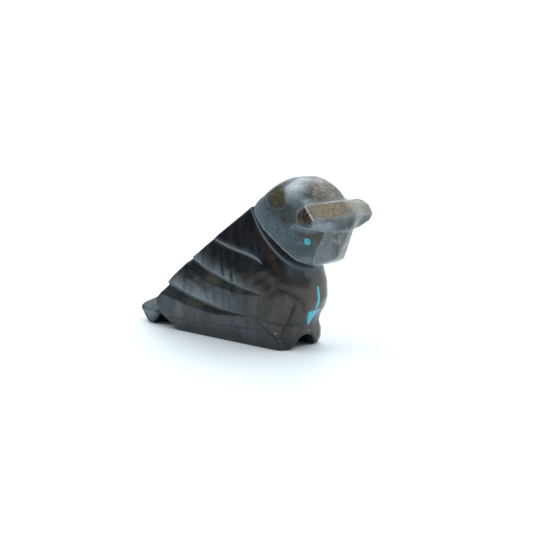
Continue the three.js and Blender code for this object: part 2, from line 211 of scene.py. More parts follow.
class OwlStoneSettings(bpy.types.PropertyGroup):
    """Sizes and colours of the carved stone"""

    cell: bpy.props.FloatProperty(
        name="Cell", description="Size of the cells that the surface is drawn from",
        default=length(0.25), min=length(0.15), unit="LENGTH")
    edge_round: bpy.props.FloatProperty(
        name="Edge Round", description="Radius left by polishing on the outer edges",
        default=length(0.35), min=length(0.05), unit="LENGTH")
    groove_ratio: bpy.props.FloatProperty(
        name="Groove Depth Ratio", description="Depth of a wing groove as a share of its width",
        default=0.33, min=0.05, max=0.8)
    collar_depth: bpy.props.FloatProperty(
        name="Collar Depth", description="Depth of the cut under the head",
        default=length(0.6), min=length(0.1), unit="LENGTH")
    leg_step: bpy.props.FloatProperty(
        name="Leg Step", description="How far the legs stand proud of the chest",
        default=length(0.12), min=0.0, unit="LENGTH")
    unevenness: bpy.props.FloatProperty(
        name="Unevenness", description="Depth of the waves that cutting by hand leaves",
        default=length(0.05), min=0.0, unit="LENGTH")
    body_color: bpy.props.FloatVectorProperty(
        name="Stone Colour", description="Main colour of the stone",
        subtype="COLOR", size=3, default=(0.026, 0.034, 0.042), min=0, max=1)


class OwlInlaySettings(bpy.types.PropertyGroup):
    """Sizes and colours of the turquoise"""

    eye_radius: bpy.props.FloatProperty(
        name="Eye Radius", description="Radius of each eye inlay",
        default=length(0.68), min=length(0.2), unit="LENGTH")
    proud: bpy.props.FloatProperty(
        name="Proud", description="How far an inlay stands out of the stone",
        default=length(0.03), min=0.0, unit="LENGTH")
    depth: bpy.props.FloatProperty(
        name="Depth", description="How far an inlay reaches into the stone",
        default=length(0.5), min=length(0.1), unit="LENGTH")
    color: bpy.props.FloatVectorProperty(
        name="Turquoise", description="Colour of the inlays",
        subtype="COLOR", size=3, default=(0.045, 0.45, 0.58), min=0, max=1)


class OwlStageSettings(bpy.types.PropertyGroup):
    """Camera, floor and lights"""

    azimuth: bpy.props.FloatProperty(
        name="Azimuth", description="Where the camera stands around the owl",
        default=math.radians(42.0), subtype="ANGLE")
    elevation: bpy.props.FloatProperty(
        name="Elevation", description="Height of the camera over the horizon",
        default=math.radians(10.5), subtype="ANGLE")
    distance: bpy.props.FloatProperty(
        name="Distance", description="From the camera to the owl",
        default=length(398), unit="LENGTH")
    lens: bpy.props.FloatProperty(
        name="Lens", description="Focal length in millimetres on a 36 mm sensor",
        default=138.46, min=20)
    softbox_angle: bpy.props.FloatProperty(
        name="Softbox Angle", description="How wide the softbox over the owl looks from it",
        default=math.radians(88.0), subtype="ANGLE")
    softbox_level: bpy.props.FloatProperty(
        name="Softbox Level", description="Brightness of the softbox",
        default=1.85, min=0.0)
    lamp_level: bpy.props.FloatProperty(
        name="Lamp Level", description="Brightness of the small lamp, high on the owl's right",
        default=2.0, min=0.0)
    backdrop_level: bpy.props.FloatProperty(
        name="Backdrop Level", description="Brightness of the white backdrop behind the owl",
        default=0.9, min=0.0)
    wall_level: bpy.props.FloatProperty(
        name="Wall Level", description="Brightness of the white wall on the owl's left",
        default=1.0, min=0.0)
    room_level: bpy.props.FloatProperty(
        name="Room Level", description="Brightness of the room around the stage",
        default=0.24, min=0.0)
    floor_color: bpy.props.FloatVectorProperty(
        name="Floor Colour", description="Colour of the pale floor",
        subtype="COLOR", size=3, default=(0.84, 0.88, 0.91), min=0, max=1)


# Lines and profiles


def curve_at(knots, at):
    """Smooth curve through the knots, without overshoot."""
    knots = np.asarray(knots, float)
    x, y = knots[:, 0], knots[:, 1]
    step = np.diff(x)
    slope = np.diff(y) / step
    tangent = np.zeros(len(x))
    tangent[0], tangent[-1] = slope[0], slope[-1]
    for i in range(1, len(x) - 1):
        if slope[i - 1] * slope[i] > 0:
            w1, w2 = 2 * step[i] + step[i - 1], step[i] + 2 * step[i - 1]
            tangent[i] = (w1 + w2) / (w1 / slope[i - 1] + w2 / slope[i])
    at = np.clip(at, x[0], x[-1])
    i = np.clip(np.searchsorted(x, at) - 1, 0, len(x) - 2)
    s = (at - x[i]) / step[i]
    return ((1 + 2 * s) * (1 - s) ** 2 * y[i] + s * (1 - s) ** 2 * step[i] * tangent[i]
            + s * s * (3 - 2 * s) * y[i + 1] + s * s * (s - 1) * step[i] * tangent[i + 1])


def smooth_line(points, pieces):
    """The points with a Catmull-Rom curve drawn through them. Extra columns are carried along."""
    points = np.asarray(points, float)
    padded = np.vstack([2 * points[0] - points[1], points, 2 * points[-1] - points[-2]])
    out = []
    for i in range(len(points) - 1):
        a, b, c, d = padded[i:i + 4]
        for s in np.arange(pieces) / pieces:
            out.append(0.5 * (2 * b + (c - a) * s + (2 * a - 5 * b + 4 * c - d) * s * s
                              + (3 * b - a - 3 * c + d) * s ** 3))
    out.append(points[-1])
    return np.array(out)


def distance_to_line(px, pz, line, open_ends=True):
    """Signed distance to the line in its plane, positive on its left, and the place along it."""
    best = np.full(np.broadcast(px, pz).shape, 1e9)
    signed = np.zeros_like(best)
    along = np.zeros_like(best)
    last = len(line) - 2
    for i in range(last + 1):
        (ax, az), (bx, bz) = line[i, :2], line[i + 1, :2]
        dx, dz = bx - ax, bz - az
        size = math.hypot(dx, dz)
        t = ((px - ax) * dx + (pz - az) * dz) / (size * size)
        low = -1e9 if open_ends and i == 0 else 0.0
        high = 1e9 if open_ends and i == last else 1.0
        held = np.clip(t, low, high)
        gap = np.hypot(px - ax - held * dx, pz - az - held * dz)
        side = (pz - az) * dx - (px - ax) * dz
        nearer = gap < best
        best = np.where(nearer, gap, best)
        signed = np.where(nearer, np.where(side >= 0, gap, -gap), signed)
        along = np.where(nearer, i + np.clip(t, 0, 1), along)
    return signed, along


class FlatMap:
    """Values on a fine flat grid, read between its points."""

    def __init__(self, values, low, step):
        self.values = values
        self.low = low
        self.step = step

    def __call__(self, u, v):
        rows, columns = self.values.shape
        a = np.clip((u - self.low[0]) / self.step, 0, rows - 1.001)
        b = np.clip((v - self.low[1]) / self.step, 0, columns - 1.001)
        i, j = a.astype(int), b.astype(int)
        a, b = a - i, b - j
        value = self.values
        near = value[i, j] * (1 - b) + value[i, j + 1] * b
        far = value[i + 1, j] * (1 - b) + value[i + 1, j + 1] * b
        return near * (1 - a) + far * a


def flat_maps(function, low, high, step=0.1):
    """A map of each result of a function of two coordinates, worked out once."""
    low = np.array(low, float)
    counts = np.ceil((np.array(high) - low) / step).astype(int) + 1
    across, up = (low[n] + step * np.arange(counts[n]) for n in range(2))
    results = function(across[:, None], up[None, :])
    return [FlatMap(np.ascontiguousarray(np.broadcast_to(values, counts)), low, step) for values in results]


def bell(value, width):
    """1 where the value is 0, falling away over the width."""
    return np.exp(-(value / width) ** 2)


def smoothstep(value, low, high):
    """0 below low and 1 above high, with a soft rise between them."""
    t = np.clip((value - low) / (high - low), 0, 1)
    return t * t * (3 - 2 * t)


def ramp(value, low, high, first, last):
    """From the first amount to the last while the value runs from low to high."""
    return first + (last - first) * smoothstep(value, low, high)


def unit(rows):
    """Each row scaled to length 1."""
    return rows / np.maximum(np.linalg.norm(rows, axis=1), 1e-9)[:, None]


# Solid shapes as distances: negative inside, in millimetres


def round_max(a, b, radius):
    """Where both shapes are, with their shared edge rounded."""
    u = np.maximum(a + radius, 0)
    v = np.maximum(b + radius, 0)
    return np.minimum(np.maximum(a, b), -radius) + np.sqrt(u * u + v * v)


def soft_max(a, b, width):
    """Where both shapes are, with a small blend that hardly moves a shallow edge."""
    h = np.maximum(width - np.abs(a - b), 0)
    return np.maximum(a, b) + h * h / (4 * width)


def soft_min(a, b, width):
    """Both shapes joined, with a small blend in the corner between them."""
    return -soft_max(-a, -b, width)


def plane_distance(x, y, z, point, normal):
    """Height over the plane through the point, along its normal."""
    nx, ny, nz = np.asarray(normal, float) / np.linalg.norm(normal)
    return (x - point[0]) * nx + (y - point[1]) * ny + (z - point[2]) * nz


def waves(x, y, z):
    """Gentle unevenness of a surface cut and polished by hand, from about -1 to 1."""
    return (np.sin(0.61 * x + 0.43 * y + 0.9) * np.sin(0.37 * z - 0.21 * x + 1.3)
            + 0.6 * np.sin(0.93 * z + 0.52 * x + 2.1) * np.sin(1.13 * y - 0.41 * z)
            + 0.35 * np.sin(1.57 * x - 1.21 * z + 0.4) * np.sin(1.31 * y + 1.73 * z + 0.7)) / 1.6


def body_half(x, z):
    """Half the body's width: wider at the shoulder, narrower at the foot and towards the top."""
    along = np.clip((x - BODY_BACK_X) / (SHOULDER_X - BODY_BACK_X), 0, 1)
    foot = FOOT_TAPER * np.clip(1 - z / FOOT_TAPER_HEIGHT, 0, 1) ** 2
    return WING_HALF + (SHOULDER_HALF - WING_HALF) * along - foot - WING_LEAN * z


def slope_at(knots, at):
    """How steeply the smooth curve through the knots climbs."""
    reach = 0.1
    return (curve_at(knots, at + reach) - curve_at(knots, at - reach)) / (2 * reach)


def body_walls(x, y, z):
    """Distance to the upright walls: wing sides and the rounded chest."""
    across = np.abs(y)
    front = curve_at(CHEST_PROFILE, z) - CHEST_CENTRE_X
    climb = slope_at(CHEST_PROFILE, z)
    left, right = (curve_at(CHEST_SQUARENESS[side], z) for side in (LEFT, RIGHT))
    power = 2 / np.where(y > 0, left, right)
    half = body_half(x, z)
    u = np.maximum(x - CHEST_CENTRE_X, 0) / front
    v = across / half
    size = np.maximum((u ** power + v ** power) ** (1 / power), 1e-6)
    forward = (u / size) ** (power - 1) / front * np.sqrt(1 + (u * climb) ** 2)
    sideways = (v / size) ** (power - 1) / half
    return (size - 1) / np.maximum(np.sqrt(forward ** 2 + sideways ** 2), 1e-3)


def leg_shift(across, z, step):
    """How far the legs push the chest forward, with a fine crease at their inner edge."""
    line = smooth_line(LEG_CREASE, 4)
    outside, _ = distance_to_line(across, z, line)
    swelling = step * smoothstep(outside, -0.1, 1.2)
    crease = LEG_CREASE_DEPTH * bell(outside, LEG_CREASE_WIDTH)
    return (swelling - crease) * smoothstep(across, 2.8, 4.2)


def groove_walls(x, z, ratio):
    """The wing grooves from the side: depth, upper walls, lower walls, and the brink above each."""
    depth, upper, lower, brink = (np.zeros(np.broadcast(x, z).shape) for _ in range(4))
    for path, widths, share, deepness in WING_GROOVES:
        line = smooth_line([(px, pz, w) for (px, pz), w in zip(path, widths)], 6)
        off, along = distance_to_line(x, z, line, open_ends=False)
        width = np.interp(along, np.arange(len(line)), line[:, 2])
        from_top, from_bottom = width / 2 - off, off + width / 2
        shape = np.minimum(from_top / share, from_bottom / (1 - share)) / width
        depth = np.maximum(depth, np.clip(shape, 0, 1) * width * ratio * deepness)
        to_apex = from_bottom - (1 - share) * width
        soft = 0.08
        upper = np.maximum(upper, smoothstep(np.minimum(from_top, to_apex), -soft, soft))
        lower = np.maximum(lower, smoothstep(np.minimum(from_bottom, -to_apex), -soft, soft))
        above = bell(np.maximum(-from_top, 0), BRINK_SHARE * widths[0])
        ends = smoothstep(along, len(line) - 1.5, len(line) - 14)
        brink = np.maximum(brink, above * (from_top < 0.05) * ends * deepness ** 2)
    return depth, upper, lower, brink


def tail(x, across, z):
    """The tail block, which ends inside the body."""
    shape = -z
    for point, normal in TAIL_PLANES:
        shape = soft_max(shape, plane_distance(x, across, z, point, normal), TAIL_EDGE)
    return round_max(shape, x - TAIL_FRONT_X, TAIL_EDGE)


def notch(x, z):
    """The pointed cut in front of the tail."""
    (x0, z0), (x1, z1), (x2, z2) = NOTCH
    back = plane_distance(x, 0, z, (x0, 0, z0), (-(z1 - z0), 0, x1 - x0))
    front = plane_distance(x, 0, z, (x2, 0, z2), (z1 - z2, 0, x2 - x1))
    return soft_max(back, front, NOTCH_TIP)


class OwlShape:
    """The whole carving as one distance, in millimetres."""

    def __init__(self, settings):
        self.edge = settings.edge_round / MM
        self.collar_depth = settings.collar_depth / MM
        self.uneven = settings.unevenness / MM
        ratio, step = settings.groove_ratio, settings.leg_step / MM
        lines = [smooth_line(line, 6) for line in (BACK_SLOPE, COLLAR, HEAD_EDGE)]
        self.slope, self.collar, self.head_edge = flat_maps(
            lambda x, z: [distance_to_line(x, z, line)[0] for line in lines], SIDE_LOW, SIDE_HIGH)
        self.grooves, self.ledges, self.bevels, self.brinks = flat_maps(
            lambda x, z: groove_walls(x, z, ratio), SIDE_LOW, SIDE_HIGH)
        self.legs, = flat_maps(lambda y, z: [leg_shift(y, z, step)], FRONT_LOW, FRONT_HIGH)

    def body(self, x, y, z):
        """Body, legs and tail, and the body without its finer cuts, which the collar follows."""
        across = np.abs(y)
        walls = body_walls(x - self.legs(across, z), y, z) + self.grooves(x, z)
        slope = self.slope(x, z)
        core = round_max(walls, slope, self.edge * BACK_EDGE_SHARE)
        core = round_max(core, plane_distance(x, y, z, *BODY_BACK_PLANE), self.edge)
        shape = soft_min(core, tail(x, across, z), TAIL_BLEND)
        shape = round_max(shape, -z, FOOT_EDGE)
        shape = round_max(shape, -np.maximum(notch(x, z), NOTCH_WEB_HALF - across), NOTCH_EDGE)
        arch = (np.hypot(across / FEET_GAP_HALF, np.maximum(z, -1) / FEET_GAP_HEIGHT) - 1) * FEET_GAP_HEIGHT
        gap = np.maximum(arch, FEET_GAP_BACK_X - x)
        return round_max(shape, -gap, FEET_GAP_EDGE), np.maximum(walls, slope)

    def mark(self, stone, points, quads):
        """Notes on the mesh: where it is head, where shade is painted into cuts and creases, where highlights
        are painted on edges, rims and the head's lower band, and where the grooves' walls and brinks lie.
        """
        x, y, z = points.T
        normals = unit(field_and_slope(self, points)[1])
        bend = sharpness(points, quads, normals)
        collar, head_edge = self.collar(x, z), self.head_edge(x, z)
        crease, _ = distance_to_line(np.abs(y), z, smooth_line(LEG_CREASE, 3))
        on_chest = smoothstep(x, 11.5, 13.0) * (z < 13.0)
        leg_line = bell(crease, 0.42) * on_chest
        in_cut = smoothstep(collar, 0, 0.6) * (head_edge < 0.03)
        on_side = smoothstep(np.abs(normals[:, 1]), 0.3, 0.6)
        back_edge = bell(self.slope(x, z) + 0.1, 0.17) * (collar < 0)
        values = {
            "head": (head_edge > 0).astype(float),
            # Painted shade in the collar cut and in hollow creases, over the leg's own dark line
            "leg_line_and_crease_shade": np.clip(leg_line + 0.35 * in_cut + smoothstep(-bend, 0.8, 3.0), 0, 1),
            # Painted highlight on the outer edges, which also stands for rubbed stone there
            "edge_wear_and_highlight": (smoothstep(bend, 0.3, 1.5) * (1 - on_side * (collar < 0)) * smoothstep(z, 0.6, 1.6)
                     * (1 - smoothstep(x, 5, 9) * (collar < 0))),
            # Painted highlight along the collar's rim and the back slope's edge
            "rim": np.maximum(bell(collar + 0.1, 0.22), 0.35 * back_edge),
            # Painted light on a band along the head's lower edge
            "lip": (0.4 * bell(head_edge, 0.3) + 0.6 * bell(head_edge, 2.0)) * (head_edge > 0),
            # The grooves' upper walls, which take a painted sheen
            "ledge": self.ledges(x, z) * on_side,
            "bevel": self.bevels(x, z) * on_side,
            # The brink over each groove, which takes a painted sheen
            "brink": self.brinks(x, z) * on_side,
        }
        for name, value in values.items():
            attribute = stone.data.attributes.new(name, "FLOAT", "POINT")
            attribute.data.foreach_set("value", value.astype(np.float32))

    def __call__(self, x, y, z):
        above_collar = self.collar(x, z)
        trunk, core = self.body(x, y, z)
        width, depth = COLLAR_WIDTH, self.collar_depth
        cut = (core * width + above_collar * depth) / math.hypot(width, depth)
        lower = soft_max(trunk, cut, COLLAR_EDGE)
        upper = head(x, y, z, self.head_edge(x, z))
        return soft_min(lower, upper, NECK_BLEND) + self.uneven * waves(x, y, z)


def hull_planes(points, merge_angle=math.radians(9)):
    """The faces of the points' hull as (point, normal), with those that are nearly level merged."""
    mesh = bmesh.new()
    for point in points:
        mesh.verts.new(point)
    bmesh.ops.convex_hull(mesh, input=mesh.verts)
    mesh.normal_update()
    centre = np.mean(points, axis=0)
    groups = []
    for face in sorted(mesh.faces, key=lambda f: -f.calc_area()):
        area, normal, middle = face.calc_area(), np.array(face.normal), np.array(face.calc_center_median())
        if area < 1e-6:
            continue
        if normal @ (middle - centre) < 0:
            normal = -normal
        for group in groups:
            if group["normal"] @ normal > math.cos(merge_angle):
                group["sum"] += area * normal
                group["middle"] += area * middle
                group["area"] += area
                break
        else:
            groups.append({"normal": normal, "sum": area * normal, "middle": area * middle, "area": area})
    mesh.free()
    return [(g["middle"] / g["area"], g["sum"] / np.linalg.norm(g["sum"])) for g in groups]


def face_point(across, z, side):
    """The point of a face facet at that distance from the middle and that height."""
    nx, ny, nz = FACE_NORMAL
    offset = nx * BROW_FRONT[0] + side * ny * BROW_FRONT[1] + nz * BROW_FRONT[2]
    return ((offset - ny * across - nz * z) / nx, side * across, z)


def brow(x, y, z):
    """The brow bar with its tufts and the beak's ridge, as the hull of its corners."""
    points = [BROW_FRONT, BROW_RIDGE, face_point(0, FACE_LOW_Z, LEFT)]
    for side in (LEFT, RIGHT):
        points += [(px, side * py, pz) for px, py, pz in TUFTS[side]]
        points.append(face_point(CHEEK_FRONT_HALF, FACE_LOW_Z, side))
    shape = None
    for point, normal in hull_planes(points):
        distance = plane_distance(x, y, z, point, normal)
        shape = distance if shape is None else soft_max(shape, distance, FACET_EDGE)
    return shape


def cheek_half(x):
    """Half the head's width: tapered to the front, and drawn in at the nape."""
    straight = CHEEK_FRONT_HALF + CHEEK_TAPER * (CHEEK_FRONT_X - x)
    behind = np.clip((HEAD_BACK_X + NAPE_LENGTH - x) / NAPE_LENGTH, 0, 1)
    return straight * (1 - NAPE_SHARE * (1 - np.sqrt(1 - behind ** 2)))


def rounded_corner(across, above, half, radius, climb):
    """Distance to a wall and a lid with a curved corner of that radius between them."""
    span = np.minimum(radius, half * 0.8)
    u = np.maximum(across - (half - span), 0) / span
    w = np.maximum(above + radius, 0) / radius
    size = np.hypot(u, w)
    slope = np.sqrt((u / span) ** 2 + (w / radius) ** 2 * (1 + climb ** 2))
    return np.where(size < 1e-3, -span, (size - 1) * size / np.maximum(slope, 1e-4))


def head(x, y, z, above_cut):
    """The domed head with its face facets and its brow, cut off along its lower edge."""
    across = np.abs(y)
    half = cheek_half(x) + FAR_CHEEK_EXTRA * (y > 0) * smoothstep(x, 17, 22)
    top, low = curve_at(CROWN_PROFILE, x), curve_at(CHIN_PROFILE, x)
    largest = np.maximum(0.45 * (top - low), 0.3)
    crown_radius = np.minimum(ramp(x, 16.5, 20.5, CROWN_ROUND, CROWN_FRONT_ROUND), largest)
    chin_radius = np.minimum(ramp(x, 15, 19, LIP_ROUND, CHIN_ROUND), largest)
    crown = rounded_corner(across, z - top, half, crown_radius, slope_at(CROWN_PROFILE, x))
    chin = rounded_corner(across, low - z, half, chin_radius, slope_at(CHIN_PROFILE, x))
    shape = np.maximum(np.maximum(crown, chin), HEAD_BACK_X - x)
    nx, ny, nz = FACE_NORMAL
    (bx, by, bz), (ux, uy, uz) = FACE_BEVEL
    for side in (LEFT, RIGHT):
        on_bevel = (bx, side * by + FAR_CHEEK_EXTRA * (side == LEFT), bz)
        shape = soft_max(shape, plane_distance(x, y, z, BROW_FRONT, (nx, side * ny, nz)), FACET_EDGE)
        shape = soft_max(shape, plane_distance(x, y, z, on_bevel, (ux, side * uy, uz)), FACET_EDGE)
    shape = soft_max(shape, plane_distance(x, y, z, *CHIN_FRONT), CHIN_FRONT_EDGE)
    joined = soft_min(shape, brow(x, y, z), ramp(x, 19.0, 22.0, BROW_BACK_BLEND, BROW_FRONT_BLEND))
    return round_max(joined, -above_cut, HEAD_RIM_EDGE)


# From distances to a mesh


def field_and_slope(shape, points):
    """The shape's distance at each point, and the direction in which it grows."""
    reach = 0.03
    value = shape(*points.T)
    slope = np.empty_like(points)
    for axis in range(3):
        offset = np.zeros(3)
        offset[axis] = reach
        slope[:, axis] = (shape(*(points + offset).T) - value) / reach
    return value, slope


def net_of(shape, low, high, step):
    """Vertices and quads of a shape's surface: one vertex in each cell that it crosses, on its edges too."""
    counts = np.ceil((high - low) / step).astype(int) + 1
    axes = [low[n] + step * np.arange(counts[n]) for n in range(3)]
    field = np.broadcast_to(shape(*np.ix_(*axes)), counts)
    inside = field < 0
    index = np.full(counts - 1, -1, np.int64)
    corners = [(a, b, c) for a in (0, 1) for b in (0, 1) for c in (0, 1)]
    nx, ny, nz = counts - 1
    count = sum(inside[a:a + nx, b:b + ny, c:c + nz].astype(np.int8) for a, b, c in corners)
    cells = np.stack(np.nonzero((count > 0) & (count < 8)), 1)
    index[tuple(cells.T)] = np.arange(len(cells))
    total = np.zeros((len(cells), 3))
    number = np.zeros(len(cells))
    squares = np.zeros((len(cells), 3, 3))
    sides = np.zeros((len(cells), 3))
    quads = []
    for axis in range(3):
        one, two = (axis + 1) % 3, (axis + 2) % 3
        near = [slice(1, -1)] * 3
        near[axis] = slice(0, -1)
        far = list(near)
        far[axis] = slice(1, None)
        edge = np.stack(np.nonzero(inside[tuple(near)] != inside[tuple(far)]), 1)
        edge[:, one] += 1
        edge[:, two] += 1
        end = edge.copy()
        end[:, axis] += 1
        first, last = field[tuple(edge.T)], field[tuple(end.T)]
        points = low + step * edge
        a, b = np.zeros(len(edge)), np.ones(len(edge))
        for _ in range(2):
            t = a + (b - a) * np.clip(first / (first - last), 0.02, 0.98)
            points[:, axis] = low[axis] + step * (edge[:, axis] + t)
            value = shape(*points.T)
            same = (value < 0) == (first < 0)
            a, first = np.where(same, t, a), np.where(same, value, first)
            b, last = np.where(same, b, t), np.where(same, last, value)
        normal = unit(field_and_slope(shape, points)[1])
        ring = []
        for d1, d2 in ((-1, -1), (0, -1), (0, 0), (-1, 0)):
            cell = edge.copy()
            cell[:, one] += d1
            cell[:, two] += d2
            at = index[tuple(cell.T)]
            ring.append(at)
            reached = (normal * points).sum(1)
            for n in range(3):
                total[:, n] += np.bincount(at, points[:, n], len(cells))
                sides[:, n] += np.bincount(at, normal[:, n] * reached, len(cells))
                for m in range(3):
                    squares[:, n, m] += np.bincount(at, normal[:, n] * normal[:, m], len(cells))
            number += np.bincount(at, minlength=len(cells))
        ring = np.stack(ring, 1)
        out = inside[tuple(edge.T)]
        ring[~out] = ring[~out][:, ::-1]
        quads.append(ring)
    middle = total / number[:, None]
    hold = 0.06
    left = squares + hold * np.eye(3)
    right = sides - np.einsum("nij,nj->ni", squares, middle)
    moved = np.linalg.solve(left, right[:, :, None])[:, :, 0]
    cell_low = low + step * cells
    points = np.clip(middle + moved, cell_low, cell_low + step)
    return points, np.vstack(quads)


def edges_of(quads):
    """Both ends of each side of each quad."""
    return np.vstack([quads[:, [n, (n + 1) % 4]] for n in range(4)])


def both_ways(edges):
    """The near and the far ends, and then the other way round."""
    return (edges[:, 0], edges[:, 1]), (edges[:, 1], edges[:, 0])


def settle(points, quads, shape, step):
    """Evens the net out along the surface a little, and puts each vertex back on it."""
    stride, calm, most_back = 0.6, 12, 0.3 * step
    edges = np.unique(np.sort(edges_of(quads), 1), axis=0)
    degree = np.bincount(edges.ravel(), minlength=len(points))[:, None]
    for _ in range(3):
        slope = unit(field_and_slope(shape, points)[1])
        total = np.zeros_like(points)
        agree = np.zeros(len(points))
        for near, far in both_ways(edges):
            agree += np.bincount(near, 1 - (slope[near] * slope[far]).sum(1), len(points))
            for axis in range(3):
                total[:, axis] += np.bincount(near, points[far, axis], len(points))
        shift = total / degree - points
        shift -= (shift * slope).sum(1)[:, None] * slope
        even = np.clip(1 - calm * agree / degree[:, 0], 0, 1)[:, None]
        points = points + stride * even * shift
        value, slope = field_and_slope(shape, points)
        size = np.maximum((slope ** 2).sum(1), 0.05)
        back = np.clip(value / size, -most_back, most_back)[:, None] * slope
        points = points - np.where(even > 0, back, 0)
    return points


def sharpness(points, quads, normals):
    """How strongly the surface bends outwards at each vertex, in one over millimetres."""
    edges = edges_of(quads)
    bend = np.zeros(len(points))
    count = np.bincount(edges.ravel(), minlength=len(points))
    for near, far in both_ways(edges):
        offset = points[far] - points[near]
        drop = -(offset * normals[near]).sum(1) / np.maximum((offset ** 2).sum(1), 1e-6)
        bend += np.bincount(near, drop, len(points))
    return 2 * bend / np.maximum(count, 1)


def mesh_object(name, points, faces):
    """A smooth-shaded mesh object at the origin, from points in millimetres."""
    mesh = bpy.data.meshes.new(name)
    mesh.from_pydata((np.asarray(points) * MM).tolist(), [], np.asarray(faces).tolist())
    mesh.polygons.foreach_set("use_smooth", np.ones(len(mesh.polygons), bool))
    mesh.update()
    piece = bpy.data.objects.new(name, mesh)
    bpy.context.scene.collection.objects.link(piece)
    return piece


# Materials


class Value:
    """A node's socket that takes part in plain arithmetic."""

    def __init__(self, nodes, socket):
        self.nodes = nodes
        self.socket = socket

    def _math(self, operation, *terms):
        return self.nodes.node("ShaderNodeMath", {"operation": operation}, terms)

    def __add__(self, other):
        return self._math("ADD", self, other)

    __radd__ = __add__

    def __sub__(self, other):
        return self._math("SUBTRACT", self, other)

    def __rsub__(self, other):
        return self._math("SUBTRACT", other, self)

    def __mul__(self, other):
        return self._math("MULTIPLY", self, other)

    __rmul__ = __mul__

    def most(self, other):
        return self._math("MAXIMUM", self, other)

    def absolute(self):
        return self._math("ABSOLUTE", self)


class Nodes:
    """Adds nodes to one tree."""

    def __init__(self, tree):
        self.tree = tree

    def node(self, kind, settings=None, inputs=(), output=0):
        """Adds a node: its settings first, then the values or links of its sockets."""
        made = self.tree.nodes.new(kind)
        for key, value in (settings or {}).items():
            setattr(made, key, value)
        pairs = inputs.items() if isinstance(inputs, dict) else enumerate(inputs)
        for socket, value in pairs:
            self.put(made.inputs[socket], value)
        return Value(self, made.outputs[output]) if made.outputs else None

    def put(self, socket, value):
        """Links a socket or sets its constant."""
        if isinstance(value, Value):
            self.tree.links.new(value.socket, socket)
        elif value is not None:
            if socket.type == "RGBA" and len(value) == 3:
                value = (*value, 1)
            socket.default_value = value

    def vector(self, operation, *terms):
        """A vector from vectors."""
        return self.node("ShaderNodeVectorMath", {"operation": operation}, terms)

    def measure(self, operation, *terms):
        """A number from vectors, such as a length or a dot product."""
        return self.node("ShaderNodeVectorMath", {"operation": operation}, terms, "Value")

    def scaled(self, vector, factor):
        """The vector times a number."""
        return self.node("ShaderNodeVectorMath", {"operation": "SCALE"}, {0: vector, "Scale": factor})


class Shader(Nodes):
    """One material's nodes around its surface."""

    def __init__(self, name):
        self.material = bpy.data.materials.new(name)
        self.material.use_nodes = True
        super().__init__(self.material.node_tree)
        self.tree.nodes.clear()
        self.surface = self.tree.nodes.new("ShaderNodeBsdfPrincipled")
        output = self.tree.nodes.new("ShaderNodeOutputMaterial")
        self.tree.links.new(self.surface.outputs[0], output.inputs[0])

    def set(self, **inputs):
        """Sets or links sockets of the surface by their names."""
        for name, value in inputs.items():
            self.put(self.surface.inputs[name.replace("_", " ").title().replace("Ior", "IOR")], value)

    def place(self):
        """Object coordinates in millimetres."""
        return self.scaled(self.node("ShaderNodeTexCoord", output="Object"), 1 / MM)

    def noise(self, vector, scale, detail=3.0, roughness=0.5, distortion=0.0, output=0):
        """Smooth noise, as a number or as a colour."""
        return self.node("ShaderNodeTexNoise", {"noise_dimensions": "3D"}, {
            "Vector": vector, "Scale": scale, "Detail": detail, "Roughness": roughness,
            "Distortion": distortion}, output)

    def blend(self, share, first, second, mode="MIX"):
        """A mix of two colours."""
        return self.node("ShaderNodeMix", {"data_type": "RGBA", "blend_type": mode, "clamp_factor": True},
                         {0: share, 6: first, 7: second}, output=2)

    def tinted(self, color, factor):
        """The colour multiplied by another."""
        return self.blend(1.0, color, factor, "MULTIPLY")

    def layered(self, base, layers):
        """The base with layers over it, each a share and a colour."""
        for share, color in layers:
            base = self.blend(share, base, color)
        return base

    def named(self, name):
        """A value that the mesh carries."""
        return self.node("ShaderNodeAttribute", {"attribute_name": name, "attribute_type": "GEOMETRY"},
                         output="Fac")

    def moved(self, place, factor, offset=(0, 0, 0)):
        """The place scaled and then shifted."""
        return self.vector("MULTIPLY_ADD", place, factor, offset)

    def streak(self, place, start, end, width, through=True):
        """1 along the line between two points, fading out at the width, or right through the stone."""
        keep = np.array((1, 0, 1) if through else (1, 1, 1), float)
        start = keep * start
        run = keep * end - start
        offset = self.moved(place, tuple(keep), tuple(-start))
        share = self.measure("DOT_PRODUCT", offset, tuple(run / (run @ run)))
        share = self.node("ShaderNodeMath", {"operation": "ADD", "use_clamp": True}, (share, 0.0))
        away = self.vector("SUBTRACT", offset, self.scaled(tuple(run), share))
        return 1 - self.step(self.measure("LENGTH", away), width * 0.1, width)

    def cloud(self, place, middle, reach, core=0.45):
        """1 in the middle of a soft egg-shaped cloud, and 0 past its reach."""
        scale = tuple(1 / r for r in reach)
        offset = tuple(-m / r for m, r in zip(middle, reach))
        return 1 - self.step(self.measure("LENGTH", self.moved(place, scale, offset)), core, 1.0)

    def step(self, value, low, high):
        """0 below low and 1 above high, with a soft rise between them."""
        return self.node("ShaderNodeMapRange", {"interpolation_type": "SMOOTHSTEP"},
                         {0: value, 1: low, 2: high, 3: 0.0, 4: 1.0})


# Colours of the stone, and of the highlights, sheen and shade painted on it
INK = (0.004, 0.005, 0.007)
SLATE = (0.016, 0.021, 0.027)
# Painted shade in cuts and creases, and the leg's dark line
LEG_LINE_AND_SHADE_UMBER = (0.016, 0.011, 0.01)
BLUE_GREY = (0.031, 0.044, 0.056)
# A pale streak in the stone, and the painted sheen on the grooves' upper walls
STREAK_AND_LEDGE_SHEEN_BLUE = (0.105, 0.137, 0.16)
# Painted sheen on the brink over each groove
BRINK_SHEEN_GREY = (0.15, 0.18, 0.19)
